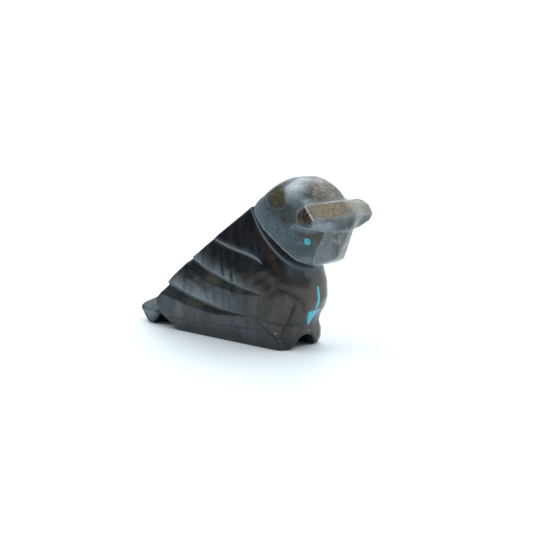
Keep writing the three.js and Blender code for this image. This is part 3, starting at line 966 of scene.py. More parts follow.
# Painted highlight on the collar's rim and the back slope's edge
RIM_HIGHLIGHT_BLUE = (0.15, 0.19, 0.215)
HEAD_BLUE = (0.078, 0.108, 0.125)
PALE_BLUE = (0.19, 0.23, 0.245)
PALE_BROWN = (0.13, 0.13, 0.115)
CHALK = (0.45, 0.5, 0.52)
OLIVE = (0.058, 0.051, 0.026)
OLIVE_GREY = (0.06, 0.064, 0.05)
RUST = (0.04, 0.016, 0.008)
TAN = (0.05, 0.034, 0.02)
LEG_BROWN = (0.04, 0.034, 0.025)
CHEST_BROWN = (0.06, 0.048, 0.038)
BROW_BROWN = (0.09, 0.077, 0.03)
GREY_GREEN = (0.105, 0.125, 0.095)
ORANGE = (0.4, 0.12, 0.025)
JAW_ORANGE = (0.34, 0.13, 0.03)
GOLD = (0.5, 0.32, 0.06)
OCHRE = (0.15, 0.12, 0.04)
MOSS = (0.115, 0.105, 0.035)
SPECK_GREY = (0.32, 0.36, 0.3)
SPECK_GREEN = (0.09, 0.1, 0.07)
SPECK_BROWN = (0.02, 0.016, 0.014)
BLOT_DARK = (0.03, 0.028, 0.022)
BLOT_PALE = (0.2, 0.22, 0.19)
SMUDGE_DARK = (0.036, 0.034, 0.024)
SMUDGE_PALE = (0.2, 0.22, 0.2)
# Painted highlight on the crown
CROWN_HIGHLIGHT = (0.5, 0.56, 0.59)
# Painted highlight on the near tuft's top edge
TUFT_EDGE_HIGHLIGHT = (0.8, 0.85, 0.85)
# Painted highlight on the outer edges, partly rubbed stone
EDGE_WEAR_AND_HIGHLIGHT_GREY = (0.36, 0.41, 0.43)
GROOVE_GREY = (0.02, 0.023, 0.026)
PALE_TURQUOISE = (0.09, 0.55, 0.66)

# Soft clouds in the body: middle and reach in millimetres, colour, strength. A long reach across runs right
# through the stone, as its layers do.
BODY_CLOUDS = [
    ((-14, 0, 4), (10, 30, 5.5), BLUE_GREY, 0.8),
    ((2, 0, 3.5), (11, 30, 4.8), BLUE_GREY, 0.75),
    ((-2, 0, 8.5), (9, 30, 3.2), BLUE_GREY, 0.75),
    ((-12.4, 0, 4.6), (4.4, 30, 2.4), (0.075, 0.085, 0.086), 0.8),
    ((-3.0, 0, 15.6), (10.5, 30, 4.2), (0.013, 0.017, 0.021), 0.9),
    ((-12.5, 0, 12.4), (4.4, 30, 1.8), (0.018, 0.023, 0.029), 0.7),
    ((0.4, 0, 0.9), (4.4, 30, 2.2), (0.01, 0.013, 0.018), 0.9),
    ((-7.6, 0, 10.4), (2.8, 30, 2.0), SLATE, 0.6),
    ((-7, 0, 17.6), (3.6, 30, 2.6), (0.03, 0.037, 0.042), 0.7),
    ((2, 0, 21.9), (11, 30, 5.4), (0.011, 0.012, 0.015), 1.0),
    ((4.0, 0, 16.2), (8.5, 30, 3.6), (0.009, 0.011, 0.014), 0.9),
    ((12.0, 0, 17.0), (4, 30, 3.4), (0.01, 0.01, 0.011), 0.75),
    # Painted shade, darker along the foot
    ((-2, 0, -0.2), (24, 30, 2.8), (0.014, 0.018, 0.023), 0.85),
    ((-4, 0, 14.5), (3, 30, 1.6), SLATE, 0.5),
    ((-12, 0, 2), (0.9, 30, 4), SLATE, 0.7),
    ((-5.5, 0, 3), (1.4, 30, 3.5), SLATE, 0.6),
    ((10.5, 0, 8), (7, 30, 6), LEG_BROWN, 0.75),
    ((13.2, 0, 4.5), (4, 30, 4.6), LEG_BROWN, 0.7),
    ((17.4, 0, 9.6), (5.2, 30, 4.6), CHEST_BROWN, 0.85),
    ((17.5, 0, 16.6), (6.0, 9, 5.2), (0.046, 0.058, 0.068), 0.95),
    ((-23.5, 0, 3.6), (3.6, 30, 3.2), (0.11, 0.14, 0.155), 0.85),
    ((15.5, 4, 2.5), (3, 3, 3), (0.06, 0.068, 0.062), 0.7),
]

# Streaks through the body: start and end in millimetres, half width, colour, strength
BODY_STREAKS = [
    ((-10.6, 0, 10.4), (-8.2, 0, 9.0), 0.8, PALE_BROWN, 0.45),
    ((-8.2, 0, 9.0), (-5.6, 0, 6.9), 0.8, STREAK_AND_LEDGE_SHEEN_BLUE, 0.55),
    ((5.1, 0, 5.4), (8.8, 0, 2.9), 1.0, SLATE, 0.8),
    ((8.8, 0, 2.9), (12.2, 0, 0.2), 1.5, SLATE, 0.85),
    ((-2.1, 0, 18.4), (-1.6, 0, 13.0), 0.6, INK, 0.95),
    ((0.3, 0, 18.2), (0.9, 0, 9.6), 0.7, INK, 0.95),
    ((2.7, 0, 17.2), (3.0, 0, 14.2), 0.55, INK, 0.85),
    ((-11.4, 0, 14.2), (-11.8, 0, 11.2), 0.6, INK, 0.8),
    ((-12.1, 0, 11.8), (-12.4, 0, 8), 0.25, SLATE, 0.6),
    ((7.6, 0, 22), (10.4, 0, 18.4), 1.5, (0.02, 0.012, 0.009), 0.8),
    ((9.6, 0, 16.6), (12.4, 0, 14.4), 1.5, INK, 0.75),
    ((10.6, 0, 18.0), (13.2, 0, 15.4), 1.2, RUST, 0.6),
    ((13.2, 0, 15.4), (15.2, 0, 12.0), 1.0, RUST, 0.7),
    ((5.0, 0, 13.3), (9.5, 0, 13.8), 1.3, TAN, 0.6),
    ((9.5, 0, 13.8), (13.5, 0, 12.6), 1.3, TAN, 0.6),
    ((-5.4, 0, 4.2), (-7.6, 0, -0.4), 1.3, SLATE, 0.75),
    ((-16, 0, 4), (-14.5, 0, 0.5), 1.2, SLATE, 0.6),
    ((-18.4, 0, 7.0), (-18.8, 0, 3.6), 0.7, SLATE, 0.6),
    ((-2.6, 0, 5.2), (-3.0, 0, 2.2), 0.8, SLATE, 0.5),
]

# Darker colours on the grooves' lower walls, which are also a little rougher
GROOVE_CLOUDS = [
    ((-8.6, 0, 12.8), (3.1, 30, 3), INK, 1.0),
    ((-4.5, 0, 11.4), (2.0, 30, 2), OLIVE, 1.0),
    ((-1.2, 0, 10.8), (0.7, 30, 2), INK, 0.95),
    ((0.9, 0, 10.8), (0.8, 30, 2), INK, 0.95),
    ((3.0, 0, 10.6), (1.2, 30, 1.2), (0.045, 0.04, 0.032), 0.8),
    ((4.9, 0, 10.6), (0.9, 30, 1.2), INK, 0.9),
    ((7.2, 0, 10.4), (1.5, 30, 1.2), OLIVE_GREY, 0.8),
    ((-13.7, 0, 7.1), (0.8, 30, 1.4), INK, 0.9),
    ((-9.6, 0, 6.3), (3.0, 30, 1.4), OLIVE, 0.9),
    ((-3.2, 0, 5.8), (4.6, 30, 1.4), INK, 1.0),
    ((4.4, 0, 5.9), (2.2, 30, 1.2), OLIVE, 0.7),
    ((3, 0, 17.4), (8, 30, 3), INK, 1.0),
]

# Head and brow, which are of a paler stone, with painted sheen and shade on the tufts
HEAD_CLOUDS = [
    ((10.6, 0, 21.8), (3, 30, 2.4), (0.06, 0.085, 0.1), 0.7),
    ((15.5, -5, 19.0), (4.2, 6, 2.2), (0.052, 0.066, 0.074), 0.8),
    ((11.9, -5, 28.7), (3.2, 4, 3.4), (0.03, 0.036, 0.034), 0.85),
    ((12.3, -5, 29.2), (2.5, 3.5, 2.5), OLIVE, 1.0),
    ((14.8, -5, 26.4), (2.8, 3, 3.4), (0.04, 0.037, 0.026), 0.6),
    ((17.0, -4.6, 25.0), (1.8, 3, 1.4), (0.06, 0.052, 0.035), 0.6),
    ((19.8, 0, 31.0), (5.8, 6, 3.2), (0.042, 0.044, 0.034), 0.95),
    ((22.6, 0, 20.5), (3.4, 30, 6.0), (0.108, 0.122, 0.118), 0.85),
    ((18.0, -4.6, 23.0), (2.0, 1.6, 0.6), (0.075, 0.05, 0.03), 0.7),
    ((21.3, -4.2, 22.5), (1.6, 1.2, 1.3), (0.1, 0.075, 0.05), 0.75),
    ((22.1, -3.1, 20.6), (1.8, 0.9, 3.4), (0.1, 0.128, 0.145), 0.65),
    ((22.9, -1.5, 21.6), (1.8, 0.8, 2.6), (0.045, 0.048, 0.044), 0.8),
    ((24.5, 5.0, 27.4), (3.8, 5.4, 2.8), GREY_GREEN, 1.0),
    ((24.6, -4.6, 28.2), (4.2, 9.2, 2.4), BROW_BROWN, 1.0),
    # Painted sheen on the near tuft's lower front
    ((25.4, -7, 24.9), (3.2, 5.2, 1.7), (0.19, 0.235, 0.255), 0.85),
    ((25.2, 1.6, 24.9), (3.2, 6.0, 1.9), (0.035, 0.043, 0.045), 0.95),
    # Painted shade under the far tuft
    ((24.2, 7.0, 24.4), (3.2, 4.0, 2.0), (0.028, 0.04, 0.044), 0.95),
    ((21.6, -8.2, 26.7), (2.8, 1.2, 2.4), (0.022, 0.019, 0.017), 1.0),
    ((20.2, -8.2, 25.0), (1.8, 1.0, 1.1), (0.075, 0.095, 0.105), 0.8),
]

# Fine dark cracks that healed, as sheets through the stone: a point on each, its direction, the middle and
# reach of the part that shows, and how wide it is
VEINS = [
    ((-5, 0, 2.7), (-0.045, 0, 1), (-5, -5, 2.7), (15, 9, 3), 0.26),
    ((14.4, -4.8, 5.3), (-0.745, -0.559, 0.363), (14.4, -4.8, 5.4), (3.4, 3, 6.4), 0.52),
    ((10.0, 0, 5.45), (0.12, 0.0, 1), (11, -4, 5.4), (7.5, 6, 2), 0.38),
    ((10.0, 0, 3.0), (0.48, 0.1, 0.87), (10, -5, 3.2), (5.6, 4, 4), 0.55),
    ((11.0, 0, 8.9), (0.5, 0.3, 0.8), (10.8, -5, 9), (2.6, 4, 2), 0.14),
    ((-6.4, 0, 9), (0.86, 0, 0.5), (-6.8, -5, 9), (2.4, 4, 3), 0.1),
    ((16.5, 0, 4.95), (0, 0.03, 1), (15.8, -3, 5), (3, 4.6, 1), 0.14),
]


def painted(shader, place, base, clouds):
    """The base with soft clouds of other colours in it."""
    for middle, reach, color, strength in clouds:
        base = shader.blend(shader.cloud(place, middle, reach) * strength, base, color)
    return base


def veined(shader, place, base):
    """The base with dark cracks drawn through it."""
    for point, normal, middle, reach, width in VEINS:
        normal = np.array(normal, float) / np.linalg.norm(normal)
        height = shader.measure("DOT_PRODUCT", place, tuple(normal))
        off = (height - float(normal @ np.array(point))).absolute()
        crack = 1 - shader.step(off, width * 0.35, width)
        base = shader.blend(crack * shader.cloud(place, middle, reach, 0.7), base, INK)
    return base


def flecks(shader, place, scale, size, offset=0.0):
    """Small scattered grains: 1 on a grain."""
    shifted = shader.moved(place, (1, 1, 1), (offset, -offset, 1.7 * offset))
    cells = shader.node("ShaderNodeTexVoronoi", {"feature": "F1"}, {"Vector": shifted, "Scale": scale},
                        "Distance")
    return 1 - shader.step(cells, size * 0.6, size)


def head_paint(shader, place, bent, nearly, fine):
    """The head's colours, with its flecks and chips, and painted highlights, sheen and shade on its crown,
    facets and tufts.
    """

    def cloud(middle, reach, core=0.45):
        return shader.cloud(nearly, middle, reach, core)

    def grains(scale, size, offset=0.0):
        return flecks(shader, bent, scale, size, offset)

    pale = painted(shader, bent, HEAD_BLUE, HEAD_CLOUDS)
    upright = shader.noise(shader.moved(bent, (1.6, 0.6, 0.3)), 1.0, 3.0, 0.6)
    ring = cloud((12.2, -5, 29.2), (2.9, 3.9, 2.9), 0.75) - cloud((12.3, -5, 29.2), (2.5, 3.5, 2.5), 0.8)
    golden = cloud((12.5, -5, 28.7), (2.5, 3.5, 2.5)) * shader.step(fine, 0.45, 0.62)
    # Painted highlight: the overhead light's pale patch on the crown
    crown_highlight = cloud((17.6, -4.6, 30.6), (4.3, 4.0, 4.8), 0.8) * cloud((15.4, -4.4, 31.8), (4.2, 5.5, 4.8), 0.0)
    # Painted highlights along the face's bevel and along the near tuft's top edge
    face_edge_highlight = shader.streak(place, (23.0, -3.95, 22.9), (21.0, -3.9, 18.2), 0.55, through=False)
    tuft_edge_highlight = shader.streak(place, (21.2, -7.86, 28.7), (23.9, -8.6, 26.3), 0.22, through=False)
    pale = shader.layered(pale, [
        (shader.step(upright, 0.35, 0.7) * 0.5, shader.tinted(pale, (1.7, 1.65, 1.6))),
        (ring * 0.4, PALE_BLUE),
        (golden * 0.3, OCHRE),
        (crown_highlight * (0.75 + 0.35 * fine), CROWN_HIGHLIGHT),
        (face_edge_highlight * 0.5, PALE_BLUE),
        (tuft_edge_highlight, TUFT_EDGE_HIGHLIGHT),
    ])

    crown = cloud((19.5, -1.0, 31.0), (5.0, 5.4, 3.0))
    blots = shader.noise(nearly, 0.95, 4.0, 0.65, 0.5)
    face = cloud((23.6, 1.2, 21.6), (4.0, 4.6, 4.4), 0.6)
    smudges = shader.noise(shader.moved(nearly, (1.0, 1.0, 0.5), (0, 4, 0)), 0.75, 4.0, 0.6, 0.6)
    far_jaw = cloud((22.8, 3.6, 20.6), (3.2, 2.6, 3.6))
    brow_top = cloud((24.6, -4, 28.0), (4.0, 6.8, 3.0))
    tuft_end = cloud((21.5, -8.2, 26.9), (2.8, 1.2, 2.4))
    warm = brow_top.most(crown * 0.65).most(tuft_end)
    cool = cloud((23.5, 4.5, 27.4), (4, 5.6, 3.5))
    spots = shader.step(shader.noise(place, 0.9, 2.0), 0.38, 0.62)
    moss = shader.step(shader.noise(place, 0.8, 3.0, 0.6), 0.5, 0.62)
    pale = shader.layered(pale, [
        (shader.step(blots, 0.52, 0.6) * crown * 0.8, BLOT_DARK),
        ((1 - shader.step(blots, 0.38, 0.48)) * crown * 0.8, BLOT_PALE),
        (shader.step(smudges, 0.5, 0.6) * face * 0.95, SMUDGE_DARK),
        ((1 - shader.step(smudges, 0.36, 0.46)) * face * 0.75, SMUDGE_PALE),
        (moss * cool * 0.85, MOSS),
        (grains(2.2, 0.42, 6.1) * far_jaw, JAW_ORANGE),
        (grains(2.0, 0.42, 3.9) * warm * 0.95, SPECK_BROWN),
        (grains(2.9, 0.4) * warm * spots, ORANGE),
        (grains(2.7, 0.28, 7.3) * warm.most(cool * 0.5) * 0.9, GOLD),
        (grains(1.5, 0.5, 2.2) * cool * 0.25, SPECK_GREY),
        (grains(1.8, 0.4, 5.1) * cool * 0.5, SPECK_GREEN),
    ])

    nape_chips = shader.cloud(place, (12.5, -6, 23.8), (1.3, 2.5, 1.2))
    cheek_chips = shader.cloud(place, (16.7, -5.2, 20.8), (1.6, 2.5, 1.0))
    scattered = shader.step(shader.noise(place, 0.6, 1.0), 0.5, 0.7) * 0.5
    chips = nape_chips.most(cheek_chips).most(scattered)
    pale = shader.blend(flecks(shader, place, 3.1, 0.3) * chips * 0.8, pale, CHALK)
    return shader.blend(shader.step(fine, 0.3, 0.75), shader.tinted(pale, (0.78, 0.78, 0.78)),
                        shader.tinted(pale, (1.3, 1.3, 1.3)))


def body_paint(shader, place, bent, nearly, mottle, color):
    """The body's bands, patches, streaks, cracks, grooves and small chips, with painted sheen on the grooves'
    brinks and painted shade along the foot.
    """
    streaks = shader.noise(shader.moved(bent, (0.62, 0.25, 0.11)), 1.0, 4.0, 0.6)
    base = shader.blend(shader.step(streaks, 0.36, 0.68), SLATE, color)
    base = painted(shader, bent, base, BODY_CLOUDS)
    patches = shader.noise(shader.moved(bent, (0.55, 0.3, 0.2), (3, 0, 0)), 1.0, 2.0, 0.5)
    chest = shader.cloud(place, (17, 0, 11), (6, 9, 9), 0.6)
    base = shader.blend(shader.step(patches, 0.38, 0.58).most(chest * 0.8),
                        shader.tinted(base, (0.36, 0.42, 0.5)), shader.tinted(base, (1.1, 1.13, 1.16)))
    warmth = shader.noise(place, 0.33, 2.0, 0.5)
    base = shader.blend(shader.step(warmth, 0.42, 0.62), base, shader.tinted(base, (1.15, 1.02, 0.88)))
    # Painted sheen on the brink over each groove
    brink = shader.named("brink") * (0.65 + 0.35 * shader.step(patches, 0.38, 0.6))
    base = shader.blend(brink, base, BRINK_SHEEN_GREY)
    for start, end, width, tone, strength in BODY_STREAKS:
        base = shader.blend(shader.streak(nearly, start, end, width) * strength, base, tone)
    base = shader.blend(shader.step(mottle, 0.3, 0.75) * 0.5, base, shader.tinted(base, (1.6, 1.55, 1.5)))
    base = veined(shader, nearly, base)
    return shader.layered(base, [
        (shader.named("bevel") * 0.9, painted(shader, nearly, GROOVE_GREY, GROOVE_CLOUDS)),
        (shader.cloud(place, (12.4, -6.2, 3.3), (0.3, 1.5, 0.4)) * 0.35, CHALK),
        (shader.cloud(place, (13.3, -6.0, 1.9), (0.24, 1.5, 0.26)) * 0.35, CHALK),
        (shader.cloud(place, (16.0, 0.85, 3.2), (2.5, 0.5, 0.35)), GOLD),
    ])


def stone_material(settings):
    """Banded marble, with shade painted into its cuts, and highlights painted on its edges, rims and groove
    ledges.
    """
    shader = Shader("banded_marble")
    place = shader.place()
    wide = shader.noise(place, 0.21, 3.0, 0.55, output="Color")
    small = shader.noise(place, 1.0, 4.0, 0.6, output="Color")
    nearly = shader.moved(wide, (1.4, 1.4, 1.4), shader.moved(place, (1, 1, 1), (-0.7, -0.7, -0.7)))
    bent = shader.moved(wide, (3.0, 3.0, 3.0), shader.moved(place, (1, 1, 1), (-1.95, -1.95, -1.95)))
    bent = shader.moved(small, (0.9, 0.9, 0.9), bent)
    fine = shader.noise(place, 2.6, 4.0, 0.7)
    mottle = shader.noise(place, 1.7, 5.0, 0.65)
    blotch = shader.noise(place, 0.5, 2.0, 0.5)

    base = body_paint(shader, place, bent, nearly, mottle, tuple(settings.body_color))
    base = shader.blend(shader.named("head"), base, head_paint(shader, place, bent, nearly, fine))
    # Breaks up the painted edge highlight
    edge_breakup = 0.2 + 0.5 * shader.step(fine, 0.35, 0.65) + 0.5 * shader.step(blotch, 0.4, 0.6)
    # Where the painted light on the head's lower band is strongest
    nape = shader.cloud(place, (6.5, -4, 28.5), (4.5, 9, 4.5))
    # Where the painted edge highlight is held back, on the brow's lower edge in the middle
    ridge = shader.cloud(place, (25.4, 2.6, 23.4), (2.5, 3.4, 1.4), 0.6)
    base = shader.layered(base, [
        # Painted shade in cuts and creases, and the leg's dark line
        (shader.named("leg_line_and_crease_shade") * 0.9, LEG_LINE_AND_SHADE_UMBER),
        # Painted sheen on the grooves' upper walls
        (shader.named("ledge") * 0.85, STREAK_AND_LEDGE_SHEEN_BLUE),
        # Painted highlight on the collar's rim and the back slope's edge
        (shader.named("rim") * 0.85, RIM_HIGHLIGHT_BLUE),
        # Painted light on the head's lower band
        (shader.named("lip") * (0.6 + 0.4 * nape), PALE_BLUE),
        # Painted highlight on the outer edges, partly rubbed stone
        (shader.named("edge_wear_and_highlight") * 0.55 * edge_breakup * (1 - 0.8 * ridge), EDGE_WEAR_AND_HIGHLIGHT_GREY),
    ])
    ground = shader.named("ledge").most(shader.named("bevel") * 0.5)
    dull_tuft = shader.cloud(place, (24.0, 7.4, 25.2), (5, 5, 3.2), 0.6)
    rough = 0.17 + ground * 0.16 + shader.step(mottle, 0.35, 0.8) * 0.06 + dull_tuft * 0.3
    grain = shader.noise(place, 6.0, 4.0, 0.6)
    bump = shader.node("ShaderNodeBump", None, {"Height": grain, "Strength": 0.03, "Distance": 0.0001})
    shader.set(base_color=base, roughness=rough, normal=bump, ior=1.49)
    return shader.material


def turquoise_material(settings):
    """Cloudy turquoise, rubbed smooth."""
    shader = Shader("turquoise_inlay")
    cloud = shader.noise(shader.place(), 1.6, 3.0, 0.6)
    base = shader.blend(shader.step(cloud, 0.35, 0.7), tuple(settings.color), PALE_TURQUOISE)
    shader.set(base_color=base, roughness=0.35, ior=1.5)
    return shader.material


def plain_material(name, color, roughness):
    """One flat colour, for the stage."""
    shader = Shader(name)
    shader.set(base_color=color, roughness=roughness)
    return shader.material


# Pieces


class OWL_OT_carve_stone(bpy.types.Operator):
    """Carve the whole owl in one stone"""

    bl_idname = "owl.carve_stone"
    bl_label = "Carve Stone"

    def execute(self, context):
        settings = context.scene.owl_stone
        step = settings.cell / MM
        low, high = np.array(CAD_LOW) / MM, np.array(CAD_HIGH) / MM
        room, inset = 1.0, 0.01
        shape = OwlShape(settings)
        points, quads = net_of(shape, low - room, high + room, step)
        points = settle(points, quads, shape, step)
        points = np.clip(points, low + inset * np.array([1, 1, 0]), high - inset)
        stone = mesh_object("owl_stone", points, quads)
        shape.mark(stone, points, quads)
        stone.data.materials.append(stone_material(settings))
        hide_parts("owl_carving")
        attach(stone, "root")
        return {"FINISHED"}


def slab(name, rows):
    """A closed slab over a grid of points in millimetres. The "front" attribute is 1 on its front face."""
    rows = np.asarray(rows, float)
    down, along, _ = rows.shape
    count = down * along
    points = np.vstack([rows.reshape(-1, 3)] * 2)
    faces = []
    for i in range(down - 1):
        for j in range(along - 1):
            a, b, c, d = i * along + j, i * along + j + 1, (i + 1) * along + j + 1, (i + 1) * along + j
            faces += [(a, b, c, d), (count + d, count + c, count + b, count + a)]
    rim = list(range(along))
    rim += [i * along + along - 1 for i in range(1, down)]
    rim += [(down - 1) * along + j for j in range(along - 2, -1, -1)]
    rim += [i * along for i in range(down - 2, 0, -1)]
    for n, first in enumerate(rim):
        second = rim[(n + 1) % len(rim)]
        faces.append((second, first, count + first, count + second))
    piece = mesh_object(name, points, faces)
    front = np.zeros(2 * count, np.float32)
    front[:count] = 1.0
    front[rim] = INLAY_RIM
    piece.data.attributes.new("front", "FLOAT", "POINT").data.foreach_set("value", front)
    return piece


def let_in_tree():
    """Lays a slab onto the stone along a direction, and lets it in to a depth."""
    tree = bpy.data.node_groups.new("let_in", "GeometryNodeTree")
    for name, kind in (
            ("Slab", "Geometry"), ("Stone", "Object"), ("Direction", "Vector"), ("Proud", "Float"),
            ("Depth", "Float"), ("Reach", "Float"), ("Material", "Material")):
        tree.interface.new_socket(name, in_out="INPUT", socket_type="NodeSocket" + kind)
    tree.interface.new_socket("Inlay", in_out="OUTPUT", socket_type="NodeSocketGeometry")
    nodes = Nodes(tree)

    def given(name):
        return nodes.node("NodeGroupInput", output=name)

    stone = nodes.node("GeometryNodeObjectInfo", {"transform_space": "ORIGINAL"},
                       {"Object": given("Stone")}, "Geometry")
    direction = nodes.vector("NORMALIZE", given("Direction"))
    hit = nodes.node("GeometryNodeRaycast", {"data_type": "FLOAT"}, {
        "Target Geometry": stone, "Ray Direction": direction, "Ray Length": given("Reach")}, "Hit Position")
    front = nodes.node("GeometryNodeInputNamedAttribute", {"data_type": "FLOAT"}, {"Name": "front"})
    depth = given("Depth")
    place = nodes.vector("ADD", hit, nodes.scaled(direction, depth - front * (given("Proud") + depth)))
    inlay = nodes.node("GeometryNodeSetPosition", None, {"Geometry": given("Slab"), "Position": place})
    for kind in ("GeometryNodeSetShadeSmooth", "GeometryNodeRealizeInstances"):
        inlay = nodes.node(kind, None, {"Geometry": inlay})
    inlay = nodes.node("GeometryNodeSetMaterial", None, {"Geometry": inlay, "Material": given("Material")})
    nodes.node("NodeGroupOutput", None, {"Inlay": inlay})
    return tree


def let_in(piece, tree, values):
    """Runs the tree on the slab and returns the finished plain mesh object under the same name."""
    modifier = piece.modifiers.new("let_in", "NODES")
    modifier.node_group = tree
    for item in tree.interface.items_tree:
        if item.in_out == "INPUT" and item.name in values:
            modifier[item.identifier] = values[item.name]
    bpy.context.view_layer.update()
    depsgraph = bpy.context.evaluated_depsgraph_get()
    mesh = bpy.data.meshes.new_from_object(piece.evaluated_get(depsgraph), depsgraph=depsgraph)
    piece.modifiers.remove(modifier)
    piece.data = mesh
    return piece


def strip_rows(line, halves, across=5):
    """Rows of points over a strip of changing width that follows a line of (y, z) points."""
    line = np.asarray(line, float)
    run = unit(np.gradient(line, axis=0))
    sideways = np.stack([run[:, 1], -run[:, 0]], 1)
    spread = np.linspace(-1, 1, across)
    halves = np.asarray(halves)[:, None, None]
    flat = line[:, None, :] + spread[None, :, None] * sideways[:, None, :] * halves
    return np.concatenate([np.full(flat.shape[:2] + (1,), INLAY_FRONT_X), flat], 2)


def triangle_rows(corners, rows=13):
    """Rows of points over a triangle, from its first edge to its opposite corner, which is a little blunt."""
    a, b, c = (np.asarray(corner, float) for corner in corners)
    blunt = 0.04
    out = []
    for t in np.linspace(0, 1 - blunt, rows):
        start, end = a + t * (c - a), b + t * (c - b)
        across = start + np.linspace(0, 1, rows)[:, None] * (end - start)
        out.append(np.column_stack([np.full(rows, INLAY_FRONT_X), across]))
    return out


def disc_rows(x, z, radius, side, rows=13):
    """Rows of points over a round disc beside a cheek."""
    u, v = np.meshgrid(np.linspace(-1, 1, rows), np.linspace(-1, 1, rows), indexing="ij")
    across, up = u * np.sqrt(1 - v * v / 2), v * np.sqrt(1 - u * u / 2)
    return np.stack([x + radius * across, np.full_like(u, side * INLAY_SIDE_Y), z + radius * up * side], 2)


class OWL_OT_let_in_turquoise(bpy.types.Operator):
    """Let the turquoise eyes, shaft and arrowhead into the stone"""

    bl_idname = "owl.let_in_turquoise"
    bl_label = "Let In Turquoise"

    def execute(self, context):
        settings = context.scene.owl_inlay
        stone = bpy.data.objects.get("owl_stone")
        if stone is None:
            raise RuntimeError("the stone is carved first")
        material = turquoise_material(settings)
        tree = let_in_tree()
        shaft = smooth_line([(y, z, half) for (y, z), half in zip(SHAFT_LINE, SHAFT_HALVES)], 4)
        slabs = [
            ("heartline_shaft", slab("shaft_inlay", strip_rows(shaft[:, :2], shaft[:, 2])), (-1, 0, 0)),
            ("heartline_arrowhead", slab("arrowhead_inlay", triangle_rows(ARROWHEAD)), (-1, 0, 0)),
        ]
        radius = settings.eye_radius / MM
        for side, name in ((RIGHT, "right_eye_inlay"), (LEFT, "left_eye_inlay")):
            rows = disc_rows(EYE_X, EYE_Z, radius, side)
            slabs.append((name, slab(name + "_disc", rows), (0, -side, 0)))
        for node, piece, direction in slabs:
            let_in(piece, tree, {
                "Stone": stone, "Direction": direction, "Proud": settings.proud, "Depth": settings.depth,
                "Reach": length(30), "Material": material})
            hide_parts(node)
            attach(piece, "root")
        return {"FINISHED"}


# Stage: the camera's target in millimetres, the rest in metres. Each light has its direction from the owl,
# its distance, and its width and height.
STUDIO_WHITE = (0.96, 1.0, 1.03)
ROOM_WHITE = (0.93, 1.0, 1.06)
CARD_BLACK = (0.02, 0.02, 0.02)
CAMERA_TARGET = (2.0, 2.95, 13.65)
FLOOR_REACH = 3.0
SOFTBOX_HEIGHT = 3.0
SOFTBOX_LEAN = 0.3
SOFTBOX_SIDE = (-0.1, 1.0, 0)
LAMP = ((-0.46, -0.4, 0.78), 1.2, (0.6, 0.6))
BACKDROP = ((-0.669, 0.743, 0), 1.6, (1.5, 1.5))
WHITE_WALL = ((0.423, 0.906, 0), 2.0, (4.2, 1.2))


def sheet(name, corners, material):
    """A flat sheet for the stage, from its four corners in metres."""
    piece = mesh_object(name, np.array(corners) / MM, [(0, 1, 2, 3)])
    piece.data.materials.append(material)
    return piece


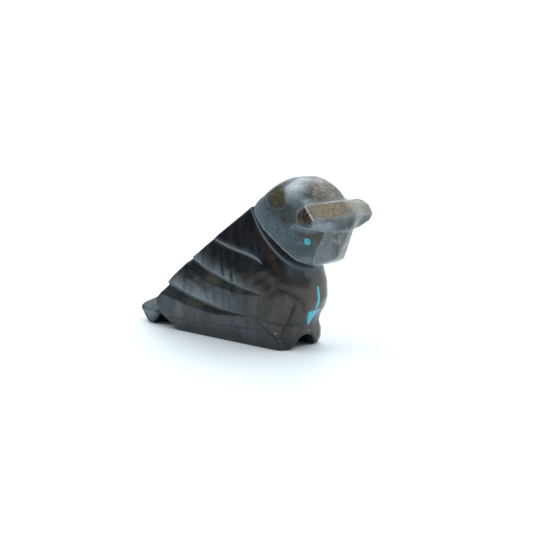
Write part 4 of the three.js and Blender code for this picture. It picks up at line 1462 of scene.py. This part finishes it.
class OWL_OT_set_stage(bpy.types.Operator):
    """Lay the pale floor, and set the lights and the camera"""

    bl_idname = "owl.set_stage"
    bl_label = "Set Stage"

    def execute(self, context):
        settings = context.scene.owl_stage
        target = Vector(CAMERA_TARGET) * MM
        a, e = settings.azimuth, settings.elevation
        back = Vector((math.sin(a) * math.cos(e), -math.cos(a) * math.cos(e), math.sin(e)))
        data = bpy.data.cameras.new("camera")
        data.lens, data.sensor_width = settings.lens, 36.0
        data.clip_start, data.clip_end = 0.01, 20.0
        camera = bpy.data.objects.new("camera", data)
        camera.location = target + back * settings.distance
        camera.rotation_mode = "QUATERNION"
        camera.rotation_quaternion = (-back).to_track_quat("-Z", "Y")
        context.scene.collection.objects.link(camera)
        context.scene.camera = camera

        corners = [(FLOOR_REACH * x, FLOOR_REACH * y, 0) for x, y in ((-1, -1), (1, -1), (1, 1), (-1, 1))]
        floor = sheet("floor", corners, plain_material("pale_floor", tuple(settings.floor_color), 0.6))

        width = 2 * SOFTBOX_HEIGHT * math.tan(settings.softbox_angle / 2)
        over = Vector(SOFTBOX_SIDE).normalized() * (SOFTBOX_LEAN * SOFTBOX_HEIGHT)
        over.z = SOFTBOX_HEIGHT
        self.light(context, "softbox", over, 0.0, (width, width), settings.softbox_level)
        direction, distance, size = LAMP
        place = Vector(direction).normalized() * distance
        self.light(context, "lamp", place, 0.0, size, settings.lamp_level)
        for name, (direction, distance, size), level in (
                ("backdrop", BACKDROP, settings.backdrop_level),
                ("white_wall", WHITE_WALL, settings.wall_level)):
            place = Vector(direction) * distance
            place.z = size[1] / 2
            self.light(context, name, place, place.z, size, level)
        self.shade_card()
        world = bpy.data.worlds.new("studio")
        world.use_nodes = True
        background = world.node_tree.nodes["Background"]
        background.inputs[0].default_value = (*ROOM_WHITE, 1)
        background.inputs[1].default_value = settings.room_level
        context.scene.world = world
        context.scene.view_settings.view_transform = "Standard"
        return {"FINISHED"}

    def shade_card(self):
        """The dark end of the table, left of the white sheet. Only the polish mirrors it."""
        away = Vector((-0.669, -0.743, 0))
        along = Vector((0.743, -0.669, 0))
        near, far, half = 0.064, 0.9, 0.5
        middle = Vector((-0.004, 0, 0.0004))
        corners = [middle + away * near - along * half, middle + away * near + along * half,
                   middle + away * far + along * half, middle + away * far - along * half]
        card = sheet("shade_card", corners, plain_material("shade_card", CARD_BLACK, 0.9))
        card.visible_camera = False
        card.visible_diffuse = False
        card.visible_shadow = False

    def light(self, context, name, place, aim, size, level):
        """A soft light of that size in metres, turned to a height over the middle of the stage."""
        data = bpy.data.lights.new(name, "AREA")
        data.shape = "RECTANGLE"
        data.size, data.size_y = size
        data.energy = level * math.pi * size[0] * size[1]
        data.color = STUDIO_WHITE
        lamp = bpy.data.objects.new(name, data)
        lamp.location = place
        lamp.rotation_mode = "QUATERNION"
        lamp.rotation_quaternion = (Vector((0, 0, aim)) - place).to_track_quat("-Z", "Y")
        context.scene.collection.objects.link(lamp)


class OWL_PT_panel(bpy.types.Panel):
    """Lists the steps that build the owl"""

    bl_idname = "OWL_PT_panel"
    bl_label = "Marble Owl"
    bl_space_type = "VIEW_3D"
    bl_region_type = "UI"
    bl_category = "Owl"

    def draw(self, context):
        for operator in STEPS:
            self.layout.operator(operator.bl_idname)


STEPS = [OWL_OT_carve_stone, OWL_OT_let_in_turquoise, OWL_OT_set_stage]
CLASSES = [OwlStoneSettings, OwlInlaySettings, OwlStageSettings, *STEPS, OWL_PT_panel]


def register():
    for kind in CLASSES:
        bpy.utils.register_class(kind)
    bpy.types.Scene.owl_stone = bpy.props.PointerProperty(type=OwlStoneSettings)
    bpy.types.Scene.owl_inlay = bpy.props.PointerProperty(type=OwlInlaySettings)
    bpy.types.Scene.owl_stage = bpy.props.PointerProperty(type=OwlStageSettings)


def unregister():
    del bpy.types.Scene.owl_stage
    del bpy.types.Scene.owl_inlay
    del bpy.types.Scene.owl_stone
    for kind in reversed(CLASSES):
        bpy.utils.unregister_class(kind)


def main():
    register()
    bpy.ops.owl.carve_stone()
    bpy.ops.owl.let_in_turquoise()
    bpy.ops.owl.set_stage()


if __name__ == "__main__":
    main()
